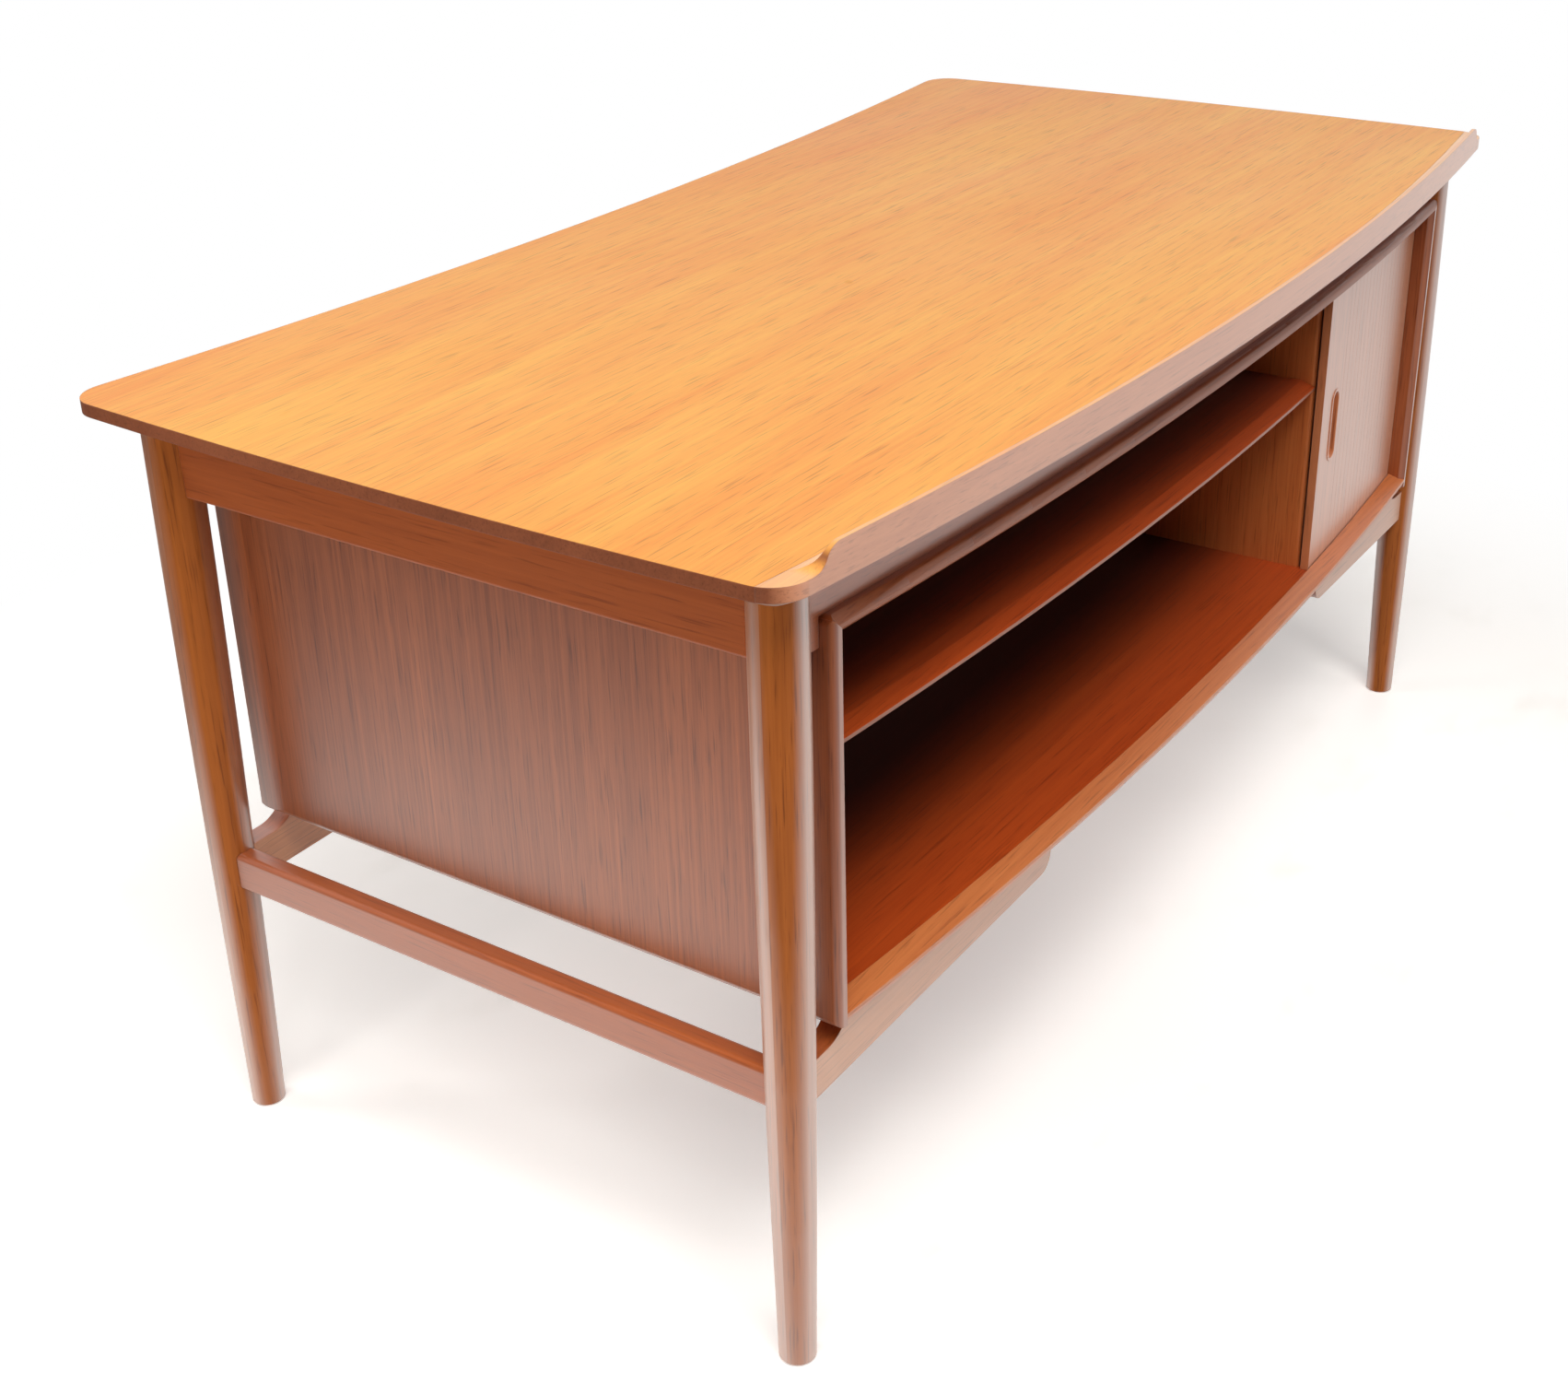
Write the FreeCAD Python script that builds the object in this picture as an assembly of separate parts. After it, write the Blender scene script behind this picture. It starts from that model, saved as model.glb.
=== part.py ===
import FreeCAD, Part
import math
import os

# Writing desk with a bookcase side. Millimetres, Z up, floor at Z = 0.
# -Y is the bookcase side, +Y is the side where a person sits, X runs along the desk.
# The origin lies on the floor under the middle of the desk top's box.

# Desk top
TOP_LENGTH = 1492.0              # over the bulging ends
TOP_DEPTH = 784.0                # bookcase bulge to sitting corners
SURFACE_HEIGHT = 730.0
TOP_THICKNESS = 22.0
TOP_EDGE_FACE = 12.0             # upright part of the edge, above the under-bevel
TOP_BEVEL_REACH = 18.0           # how far the under-bevel runs inwards
TOP_CORNER_RADIUS = 32.0
BOOKCASE_EDGE_BOW = 48.5         # bulge of the bookcase edge over the whole length
SITTING_EDGE_BOW = 44.5          # hollow of the sitting edge over the whole length
END_EDGE_RADIUS = 6970.0         # the ends bulge a little
END_BULGE_Y = -81.0              # where an end stands out most
LIP_RISE = 18.0                  # raised lip above the surface, also its cove radius
LIP_CREST = 4.0                  # thickness of the lip at its crest
LIP_END_INSET = 37.0             # bulge of an end to the foot of the lip's S-curve
LIP_END_RUN = 29.0               # length of the S-curve

# Legs, round and tapered
LEG_TOP_DIAMETER = 46.0
LEG_MIDDLE_DIAMETER = 41.0       # at the height of the stretchers
LEG_FOOT_DIAMETER = 32.0
LEG_INSET_END = 59.5             # bulge of an end to the leg's axis
LEG_INSET_BOOKCASE = 41.5        # bookcase edge, at its ends, to the leg's axis
LEG_INSET_SITTING = 71.5         # sitting corner to the leg's axis
LEG_SPLAY_END = 12.5             # the foot stands out this far along X
LEG_SPLAY_BOOKCASE = 7.5         # the bookcase feet stand out this far along Y
LEG_FOOT_BEVEL = 2.0
LEG_CONES = 5                    # the swelling taper is turned as this many cones

# Aprons under the top, stretchers and brackets lower down
APRON_HEIGHT = 63.0
APRON_THICKNESS = 20.0
APRON_PROUD = 10.0               # outer face of an apron beyond the leg's axis
RAIL_BOTTOM = 253.0
RAIL_HEIGHT = 38.0
RAIL_THICKNESS = 20.0
RAIL_PROUD = 10.0                # outer face of a stretcher or bracket beyond the leg's axis
SITTING_BRACKET_PROUD = 3.0      # the same for the sitting brackets, which stay under the case
RAIL_ROUNDING = 5.0
STRETCHER_END = 17.0             # leg's axis to a stretcher's end, which is let into the leg
APRON_ROUNDING = 3.0
SADDLE_FLAT = 18.0               # low part of a bracket beside its leg, from the leg's axis
SADDLE_RUN = 32.0                # length of the curve that climbs to the case
BRACKET_END_RADIUS = 18.0
TENON_THICKNESS = 10.0
TENON_SHOULDER = 7.0             # a rail's height above and below its tenon
TENON_END = 7.0                  # tenon's end to the leg's axis
TENON_ROOT = 30.0                # depth of the tenon's root, measured from the leg's axis
JOINT_GAP = 0.1                  # glue gap in the fixed joints

# Case
BOARD = 16.5
EDGE_FLAT = 3.5                  # thin front edge of a board
EDGE_ROUND = 7.0                 # rounding from the thin edge to a board's outer face
CASE_RAIL_GAP = 20.0             # top of the stretchers to the underside of the case
CASE_TOP_GAP = 38.0              # top of the case to the underside of the desk top
CASE_LEG_GAP = 9.5               # case side to the top of a leg
CASE_FRONT_SETBACK = 36.0        # bulge of the top to the bulge of the case
CASE_FRONT_BOW = 29.0            # bulge of the case front over its width
CASE_SITTING_SETBACK = 67.0      # sitting corners of the top to the pedestals' thin edges
SITTING_ROUND_REACH = 38.0       # long rounding on the sitting edge of a case side
BOOKCASE_SHARE = 0.433           # share of the case's depth that the bookcase takes, to its back
BACK_THICKNESS = 9.0
BACK_HOUSING = 6.0               # the back runs this far into the boards around it
BACK_MARGIN = 8.0                # boards run on behind the back by this much

# Bookcase
FRONT_SLOPE_REACH = 19.0         # sloping lipping along the bottom board's front
FLOOR_REBATE = 2.5               # the bookcase floor lies below the lipping's crest
CUPBOARD_WIDTH = 299.0           # clear width behind the door
LOWER_BAY_SHARE = 0.627          # share of the bookcase's clear height under the shelf
SHELF_THICKNESS = 14.0
SHELF_EDGE_DROP = 5.5            # slope of the shelf's front, top and bottom
SHELF_EDGE_REACH = 16.0
SHELF_END_GAP = 0.5
DIVIDER_EDGE_ROUND = 5.0
PIN_DIAMETER = 6.0
PIN_STANDOUT = 9.0
PIN_DEPTH = 9.0
PIN_INSET = 45.0                 # shelf front or back to a pin

# Tambour door, which runs in grooves along the bowed front
DOOR_SETBACK = 20.0              # case front to the face of the slats
SLAT_THICKNESS = 9.0
SLAT_PITCH = 14.0
SLAT_GAP = 0.3
LEAD_STILE_WIDTH = 66.0
CANVAS_THICKNESS = 0.8
CANVAS_MARGIN = 3.0              # canvas stays this far from the top and bottom boards
DOOR_LAP = 18.5                  # the closed door covers the divider by this much
DOOR_CLEARANCE = 0.5
GROOVE_DEPTH = 5.0
SHELF_CLEARANCE = 2.2            # back of the canvas to the shelf and divider

# Oval pulls
PULL_LENGTH = 84.0
PULL_WIDTH = 25.0
PULL_RIM = 3.5
PULL_RIM_RISE = 1.2
PULL_RIM_ROUND = 1.08
PULL_DEPTH = 6.0
PULL_FLOOR = 2.0                 # wood under the hollow of a pull
PULL_INSET = 42.0                # door's leading edge to the middle of its pull
PULL_SHARE = 0.483               # share of the case's clear height under the middle of the door's pull

# Pedestals and drawers
LEFT_PEDESTAL_WIDTH = 380.0
RIGHT_PEDESTAL_WIDTH = 264.0
DRAWER_LEVELS = ("lower", "middle", "upper")
DRAWER_GAP = 3.0
DRAWER_FRONT_SETBACK = 20.0
DRAWER_FRONT_THICKNESS = 18.0
DRAWER_FRONT_SIDE_GAP = 1.5
DRAWER_REAR_GAP = 21.0           # bookcase boards to the back of a drawer
DRAWER_SIDE_THICKNESS = 10.0
DRAWER_SIDE_MARGIN = 8.0         # a drawer side is lower than its front, top and bottom
DRAWER_WALL_GAP = 6.0            # drawer side to pedestal wall
DRAWER_BOTTOM_THICKNESS = 4.0
DRAWER_BOTTOM_RISE = 6.0         # lower edge of a side to its bottom board
DRAWER_BOTTOM_HOUSING = 5.0
RUNNER_HEIGHT = 9.4
RUNNER_ENGAGEMENT = 4.5          # a runner reaches this far into the drawer side
RUNNER_CLEARANCE = 0.3
RUNNER_INSET = 30.0              # a runner ends this far from a drawer's front and back

# Fixings
CLEAT_SIZE = 22.0
CLEAT_LENGTH = 320.0
SCREW_DIAMETER = 4.5
SCREW_HEAD_DIAMETER = 9.0
SCREW_HEAD_HEIGHT = 3.0
SCREW_BITE = 11.0                # thread in the piece that is held
SCREW_RECESS = 12.0              # a bracket screw's head lies this deep in the bracket
CLEAT_SCREWS = 3
BRACKET_SCREWS = 2

# Values worked out from the sizes above
HALF_LENGTH = TOP_LENGTH / 2
HALF_DEPTH = TOP_DEPTH / 2
FRAME_TOP = SURFACE_HEIGHT - TOP_THICKNESS
APRON_BOTTOM = FRAME_TOP - APRON_HEIGHT
CASE_BOTTOM = RAIL_BOTTOM + RAIL_HEIGHT + CASE_RAIL_GAP
CASE_TOP = FRAME_TOP - CASE_TOP_GAP
CASE_HEIGHT = CASE_TOP - CASE_BOTTOM
CASE_FLOOR = CASE_BOTTOM + BOARD
CASE_CEILING = CASE_TOP - BOARD
EDGE_INNER_BEVEL = BOARD - EDGE_FLAT - EDGE_ROUND


def bow_radius(half_span, bow):
    """Radius of the arc that bulges by bow over a chord of twice half_span."""
    return (half_span ** 2 + bow ** 2) / (2 * bow)


TOP_EDGE_RADIUS = bow_radius(HALF_LENGTH, BOOKCASE_EDGE_BOW)
TOP_EDGE_CENTRE = TOP_EDGE_RADIUS - HALF_DEPTH
SITTING_EDGE_RADIUS = bow_radius(HALF_LENGTH, SITTING_EDGE_BOW)
END_EDGE_CENTRE = HALF_LENGTH - END_EDGE_RADIUS

LEG_X = HALF_LENGTH - LEG_INSET_END
LEG_BOOKCASE_Y = BOOKCASE_EDGE_BOW - HALF_DEPTH + LEG_INSET_BOOKCASE
LEG_SITTING_Y = HALF_DEPTH - LEG_INSET_SITTING
RAIL_MIDDLE = RAIL_BOTTOM + RAIL_HEIGHT / 2

CASE_HALF = LEG_X - LEG_TOP_DIAMETER / 2 - CASE_LEG_GAP
CASE_INSIDE = CASE_HALF - BOARD
CASE_FRONT = CASE_FRONT_SETBACK - HALF_DEPTH
CASE_RADIUS = bow_radius(CASE_HALF, CASE_FRONT_BOW)
CASE_CENTRE = CASE_FRONT + CASE_RADIUS
SITTING_FACE = HALF_DEPTH - CASE_SITTING_SETBACK
BOOKCASE_DEPTH = BOOKCASE_SHARE * (SITTING_FACE - CASE_FRONT)
BACK_FRONT = CASE_FRONT + BOOKCASE_DEPTH
BACK_REAR = BACK_FRONT + BACK_THICKNESS
BOOKCASE_REAR = BACK_REAR + BACK_MARGIN
BOARD_INNER_RADIUS = CASE_CENTRE - BOOKCASE_REAR - BOARD

DOOR_FACE_RADIUS = CASE_RADIUS - DOOR_SETBACK
DOOR_BACK_RADIUS = DOOR_FACE_RADIUS - SLAT_THICKNESS
CANVAS_BACK_RADIUS = DOOR_BACK_RADIUS - JOINT_GAP - CANVAS_THICKNESS
INNER_FRONT_RADIUS = CANVAS_BACK_RADIUS - SHELF_CLEARANCE
DIVIDER_RIGHT = CASE_INSIDE - CUPBOARD_WIDTH
DIVIDER_LEFT = DIVIDER_RIGHT - BOARD
DOOR_LEFT = DIVIDER_RIGHT - DOOR_LAP
DOOR_RIGHT = CASE_INSIDE - DOOR_CLEARANCE
BOOKCASE_FLOOR = CASE_FLOOR - FLOOR_REBATE
SHELF_BOTTOM = BOOKCASE_FLOOR + LOWER_BAY_SHARE * (CASE_CEILING - BOOKCASE_FLOOR)
SHELF_TOP = SHELF_BOTTOM + SHELF_THICKNESS
PULL_HEIGHT = PULL_SHARE * (CASE_CEILING - CASE_FLOOR)

DRAWER_FACE = SITTING_FACE - DRAWER_FRONT_SETBACK
DRAWER_FRONT_BACK = DRAWER_FACE - DRAWER_FRONT_THICKNESS
DRAWER_REAR = BOOKCASE_REAR + DRAWER_REAR_GAP
DRAWER_PITCH = (CASE_CEILING - CASE_FLOOR - DRAWER_GAP) / len(DRAWER_LEVELS)
DRAWER_HEIGHT = DRAWER_PITCH - DRAWER_GAP
RUNNER_FRONT = DRAWER_FRONT_BACK - RUNNER_INSET
RUNNER_REAR = DRAWER_REAR + RUNNER_INSET

PEDESTAL_WIDTHS = {"left": LEFT_PEDESTAL_WIDTH, "right": RIGHT_PEDESTAL_WIDTH}


def vec(x, y, z):
    return FreeCAD.Vector(x, y, z)


UP = vec(0, 0, 1)


def box(x0, x1, y0, y1, z0, z1):
    """Box between two corners, given in any order along X."""
    low, high = min(x0, x1), max(x0, x1)
    return Part.makeBox(high - low, y1 - y0, z1 - z0, vec(low, y0, z0))


def outline(start, *steps):
    """Closed face from a start point and steps: an end point, or (middle, end) of an arc."""
    edges = []
    here = start
    for step in steps + (start,):
        if isinstance(step, tuple):
            edges.append(Part.Arc(here, step[0], step[1]).toShape())
            here = step[1]
        elif (step - here).Length > 1e-9:
            edges.append(Part.makeLine(here, step))
            here = step
    return Part.Face(Part.Wire(edges))


def mirrored(shape):
    return shape.mirror(vec(0, 0, 0), vec(1, 0, 0))


def on_side(shape, side):
    """A piece drawn for the right end of the desk, put on the named end."""
    return mirrored(shape) if side == "left" else shape


def export(name, shape):
    shape.exportStep("parts/" + name + ".step")


def arc_point(radius, angle, centre, z):
    """Point on a bow whose centre lies at Y = centre; angle 0 points to -Y."""
    return vec(radius * math.sin(angle), centre - radius * math.cos(angle), z)


def arc_board(inner, outer, start, end, centre, bottom, top):
    """Bowed board between two radii, two angles and two heights."""
    middle = (start + end) / 2
    face = outline(
        arc_point(outer, start, centre, bottom),
        (arc_point(outer, middle, centre, bottom), arc_point(outer, end, centre, bottom)),
        arc_point(inner, end, centre, bottom),
        (arc_point(inner, middle, centre, bottom), arc_point(inner, start, centre, bottom)))
    return face.extrude(UP * (top - bottom))


def case_angle(x, radius):
    return math.asin(x / radius)


def rounded_below(shape, radius):
    """Rounds the long lower edges of a straight bar that runs along Y."""
    bounds = shape.BoundBox
    chosen = [edge for edge in shape.Edges
              if edge.BoundBox.YLength > bounds.YLength / 2 and edge.CenterOfMass.z < bounds.Center.z]
    return shape.makeFillet(radius, chosen)


# Desk top


def lower_crossing(centre_a, radius_a, centre_b, radius_b):
    """The crossing of two circles with the lower Y; centres are (X, Y)."""
    span_x = centre_b[0] - centre_a[0]
    span_y = centre_b[1] - centre_a[1]
    span = math.hypot(span_x, span_y)
    along = (radius_a ** 2 - radius_b ** 2 + span ** 2) / (2 * span)
    aside = math.sqrt(radius_a ** 2 - along ** 2)
    middle = (centre_a[0] + along * span_x / span, centre_a[1] + along * span_y / span)
    crossings = [(middle[0] + sign * aside * span_y / span, middle[1] - sign * aside * span_x / span)
                 for sign in (-1, 1)]
    return min(crossings, key=lambda point: point[1])


def away(centre, point, radius):
    """Point at a radius from a centre, in the direction of another point."""
    reach = math.hypot(point[0] - centre[0], point[1] - centre[1])
    return tuple(c + (p - c) * radius / reach for c, p in zip(centre, point))


def top_outline(z):
    """Plan of the top: bowed bookcase edge and ends, hollow sitting edge, round corners."""
    corner = TOP_CORNER_RADIUS
    end_centre = (END_EDGE_CENTRE, END_BULGE_Y)
    front_centre = (0, TOP_EDGE_CENTRE)
    front_corner = lower_crossing(end_centre, END_EDGE_RADIUS - corner,
                                  front_centre, TOP_EDGE_RADIUS - corner)
    back_corner_y = HALF_DEPTH - corner
    back_corner = (END_EDGE_CENTRE + math.sqrt(
        (END_EDGE_RADIUS - corner) ** 2 - (back_corner_y - END_BULGE_Y) ** 2), back_corner_y)
    back_centre = (0, back_corner_y + math.sqrt((SITTING_EDGE_RADIUS + corner) ** 2 - back_corner[0] ** 2))
    diagonal = corner * math.sqrt(0.5)
    half = [
        away(front_centre, front_corner, TOP_EDGE_RADIUS),
        (front_corner[0] + diagonal, front_corner[1] - diagonal),
        away(end_centre, front_corner, END_EDGE_RADIUS),
        (HALF_LENGTH, END_BULGE_Y),
        away(end_centre, back_corner, END_EDGE_RADIUS),
        (back_corner[0] + diagonal, back_corner[1] + diagonal),
        away(back_centre, back_corner, SITTING_EDGE_RADIUS)]
    right = [vec(x, y, z) for x, y in half]
    left = [vec(-x, y, z) for x, y in half]
    return outline(
        left[0],
        (vec(0, -HALF_DEPTH, z), right[0]),
        (right[1], right[2]),
        (right[3], right[4]),
        (right[5], right[6]),
        (vec(0, back_centre[1] - SITTING_EDGE_RADIUS, z), left[6]),
        (left[5], left[4]),
        (left[3], left[2]),
        (left[1], left[0]))


def top_slab():
    """The whole top before its lip is split off: upright edge over a bevelled underside."""
    bevel_top = SURFACE_HEIGHT - TOP_EDGE_FACE
    face = top_outline(bevel_top)
    upper = face.extrude(UP * TOP_EDGE_FACE)
    inset = face.OuterWire.makeOffset2D(-TOP_BEVEL_REACH)
    inset.translate(UP * (FRAME_TOP - bevel_top))
    lower = Part.makeLoft([inset, face.OuterWire], True, True)
    return upper.fuse(lower).removeSplitter()


def lip_profile():
    """Side view of the lip: level crest with an S-curve down to the surface at each end."""
    foot = HALF_LENGTH - LIP_END_INSET
    head = foot - LIP_END_RUN
    half_turn = math.atan2(LIP_RISE, LIP_END_RUN)
    curve_radius = math.hypot(LIP_END_RUN, LIP_RISE) / 4 / math.sin(half_turn)
    reach = curve_radius * math.sin(half_turn)
    sag = curve_radius * (1 - math.cos(half_turn))
    crest = SURFACE_HEIGHT + LIP_RISE
    bend = (foot + head) / 2
    waist = SURFACE_HEIGHT + LIP_RISE / 2
    y = -TOP_DEPTH
    face = outline(
        vec(-foot, y, SURFACE_HEIGHT),
        vec(foot, y, SURFACE_HEIGHT),
        (vec(foot - reach, y, SURFACE_HEIGHT + sag), vec(bend, y, waist)),
        (vec(head + reach, y, crest - sag), vec(head, y, crest)),
        vec(-head, y, crest),
        (vec(-head - reach, y, crest - sag), vec(-bend, y, waist)),
        (vec(-foot + reach, y, SURFACE_HEIGHT + sag), vec(-foot, y, SURFACE_HEIGHT)))
    return face.extrude(vec(0, 2 * TOP_DEPTH, 0))


def lip_rise():
    """Raised part of the lip: upright outside, quarter-round cove inside."""
    reach = case_angle(HALF_LENGTH - LIP_END_INSET / 2, TOP_EDGE_RADIUS)
    outside = -HALF_DEPTH
    cove_start = outside + LIP_CREST + LIP_RISE
    diagonal = LIP_RISE * math.sqrt(0.5)
    crest = SURFACE_HEIGHT + LIP_RISE
    section = outline(
        vec(0, outside, SURFACE_HEIGHT),
        vec(0, cove_start, SURFACE_HEIGHT),
        (vec(0, cove_start - diagonal, crest - diagonal), vec(0, outside + LIP_CREST, crest)),
        vec(0, outside, crest))
    axis = vec(0, TOP_EDGE_CENTRE, 0)
    section.rotate(axis, UP, -math.degrees(reach))
    ring = section.revolve(axis, UP, 2 * math.degrees(reach))
    return ring.common(lip_profile())


def desk_top():
    slab = top_slab()
    inner = TOP_EDGE_RADIUS - LIP_CREST - LIP_RISE
    reach = case_angle(TOP_LENGTH, TOP_EDGE_RADIUS)
    strip = arc_board(inner, TOP_EDGE_RADIUS + LIP_RISE, -reach, reach, TOP_EDGE_CENTRE,
                      0, SURFACE_HEIGHT + LIP_RISE)
    lip = slab.common(strip).fuse(lip_rise()).removeSplitter()
    return slab.cut(strip), lip


# Legs and the rails between them


def leg_axis(row, z):
    """Centre of a right-hand leg at a height; row is bookcase or sitting."""
    down = (FRAME_TOP - z) / FRAME_TOP
    x = LEG_X + LEG_SPLAY_END * down
    if row == "bookcase":
        return x, LEG_BOOKCASE_Y - LEG_SPLAY_BOOKCASE * down
    return x, LEG_SITTING_Y


def leg_blank(row, growth):
    """Right-hand leg before its mortises are cut, grown all round by growth, level at both ends."""
    curve = Part.Arc(vec(LEG_FOOT_DIAMETER / 2, 0, 0), vec(LEG_MIDDLE_DIAMETER / 2, 0, RAIL_MIDDLE),
                     vec(LEG_TOP_DIAMETER / 2, 0, FRAME_TOP)).toShape().Curve

    def turned_point(z):
        rise = z - curve.Center.z
        return vec(curve.Center.x + math.sqrt(curve.Radius ** 2 - rise ** 2) + growth, 0, z)

    cone = FRAME_TOP / LEG_CONES
    taper = [turned_point(LEG_FOOT_BEVEL + n * cone) for n in range(LEG_CONES + 1)]
    bevel_end = taper[0] - vec(2 * LEG_FOOT_BEVEL, 0, 2 * LEG_FOOT_BEVEL)
    face = outline(vec(0, 0, bevel_end.z), bevel_end, *taper, vec(0, 0, taper[-1].z))
    turned = face.revolve(vec(0, 0, 0), UP, 360)
    x_top, y_top = leg_axis(row, FRAME_TOP)
    x_foot, y_foot = leg_axis(row, 0)
    lean = FreeCAD.Rotation(UP, vec(x_top - x_foot, y_top - y_foot, FRAME_TOP))
    turned.Placement = FreeCAD.Placement(vec(x_foot, y_foot, 0), lean)
    room = box(0, TOP_LENGTH, -TOP_DEPTH, TOP_DEPTH, 0, FRAME_TOP)
    return turned.common(room)


LEG_ENVELOPES = {row: leg_blank(row, JOINT_GAP) for row in ("bookcase", "sitting")}


def tenon(row, along, bottom, top, middle, growth):
    """Tenon of a rail in a right-hand leg, along -X or towards the other leg in Y."""
    x, y = leg_axis(row, (bottom + top) / 2)
    half = TENON_THICKNESS / 2 + growth
    low = bottom + TENON_SHOULDER - growth
    high = top - TENON_SHOULDER + growth
    start = TENON_END - growth
    if along == "x":
        return box(x - TENON_ROOT, x - start, middle - half, middle + half, low, high)
    if row == "bookcase":
        return box(middle - half, middle + half, y + start, y + TENON_ROOT, low, high)
    return box(middle - half, middle + half, y - TENON_ROOT, y - start, low, high)


def end_apron_middle():
    return LEG_X + APRON_PROUD - APRON_THICKNESS / 2


def stretcher_middle():
    return leg_axis("sitting", RAIL_MIDDLE)[0] + RAIL_PROUD - RAIL_THICKNESS / 2


def apron_ear_middle(row):
    """Y of the tenon where a long apron meets its leg."""
    if row == "sitting":
        return LEG_SITTING_Y + APRON_PROUD - APRON_THICKNESS / 2
    return LEG_BOOKCASE_Y - APRON_PROUD + APRON_THICKNESS / 2


def bracket_middle(row):
    y = leg_axis(row, RAIL_MIDDLE)[1]
    if row == "sitting":
        return y + SITTING_BRACKET_PROUD - RAIL_THICKNESS / 2
    return y - RAIL_PROUD + RAIL_THICKNESS / 2


def leg_tenons(row, growth):
    """The four tenons that a leg takes: end apron, long apron, stretcher, bracket."""
    rail_top = RAIL_BOTTOM + RAIL_HEIGHT
    return [
        tenon(row, "y", APRON_BOTTOM, FRAME_TOP, end_apron_middle(), growth),
        tenon(row, "x", APRON_BOTTOM, FRAME_TOP, apron_ear_middle(row), growth),
        tenon(row, "y", RAIL_BOTTOM, rail_top, stretcher_middle(), growth),
        tenon(row, "x", RAIL_BOTTOM, rail_top, bracket_middle(row), growth)]


def leg(row):
    """Right-hand leg with its four mortises."""
    shape = leg_blank(row, 0).cut(stretcher_bar(JOINT_GAP))
    for mortise in leg_tenons(row, JOINT_GAP):
        shape = shape.cut(mortise)
    return shape


def coped(rail, rows, tenon_number):
    """Rail with its ends hollowed to the right-hand legs, and its tenons."""
    for row in rows:
        rail = rail.cut(LEG_ENVELOPES[row])
    for row in rows:
        rail = rail.fuse(leg_tenons(row, 0)[tenon_number])
    return rail.removeSplitter()


def end_apron():
    middle = end_apron_middle()
    half = APRON_THICKNESS / 2
    bar = box(middle - half, middle + half, LEG_BOOKCASE_Y, LEG_SITTING_Y, APRON_BOTTOM, FRAME_TOP)
    bar = rounded_below(bar, APRON_ROUNDING)
    return coped(bar, ("bookcase", "sitting"), 0)


def stretcher_bar(growth):
    """Stretcher between the legs without its tenons; growth makes the housings in the legs."""
    low_x = stretcher_middle() - RAIL_THICKNESS / 2 - growth
    high_x = low_x + RAIL_THICKNESS + 2 * growth
    low_z = RAIL_BOTTOM - growth
    high_z = low_z + RAIL_HEIGHT + 2 * growth
    radius = RAIL_ROUNDING
    bend = radius * (1 - math.sqrt(0.5))
    y = leg_axis("bookcase", RAIL_MIDDLE)[1] + STRETCHER_END - growth
    length = LEG_SITTING_Y - STRETCHER_END + growth - y
    section = outline(
        vec(low_x + radius, y, low_z),
        vec(high_x - radius, y, low_z),
        (vec(high_x - bend, y, low_z + bend), vec(high_x, y, low_z + radius)),
        vec(high_x, y, high_z - radius),
        (vec(high_x - bend, y, high_z - bend), vec(high_x - radius, y, high_z)),
        vec(low_x + radius, y, high_z),
        (vec(low_x + bend, y, high_z - bend), vec(low_x, y, high_z - radius)),
        vec(low_x, y, low_z + radius),
        (vec(low_x + bend, y, low_z + bend), vec(low_x + radius, y, low_z)))
    return section.extrude(vec(0, length, 0))


def end_stretcher():
    bar = stretcher_bar(0)
    for row in ("bookcase", "sitting"):
        bar = bar.fuse(leg_tenons(row, 0)[2])
    return bar.removeSplitter()


def long_apron(board, row):
    """Apron along X: notched over the case, full height beside the legs."""
    notch_half = CASE_HALF + DOOR_CLEARANCE
    notch = box(-notch_half, notch_half, -TOP_DEPTH, TOP_DEPTH, 0, CASE_TOP)
    board = board.cut(notch)
    for side in ("left", "right"):
        board = board.cut(on_side(LEG_ENVELOPES[row], side))
        board = board.fuse(on_side(leg_tenons(row, 0)[1], side))
    return board.removeSplitter()


def bookcase_apron():
    """Bowed apron whose ends meet the legs."""
    outer_y = LEG_BOOKCASE_Y - APRON_PROUD
    outer = math.hypot(LEG_X, CASE_CENTRE - outer_y)
    reach = case_angle(LEG_X, outer)
    board = arc_board(outer - APRON_THICKNESS, outer, -reach, reach, CASE_CENTRE,
                      APRON_BOTTOM, FRAME_TOP)
    return long_apron(board, "bookcase")


def sitting_apron():
    outer_y = LEG_SITTING_Y + APRON_PROUD
    board = box(-LEG_X, LEG_X, outer_y - APRON_THICKNESS, outer_y, APRON_BOTTOM, FRAME_TOP)
    return long_apron(board, "sitting")


def bracket_screw_places(row, side):
    """X and Y of the screws that hold the case on a bracket."""
    inner = CASE_HALF - PEDESTAL_WIDTHS[side]
    span = PEDESTAL_WIDTHS[side] / (BRACKET_SCREWS + 1)
    return [(inner + span * (n + 1), bracket_middle(row)) for n in range(BRACKET_SCREWS)]


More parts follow.
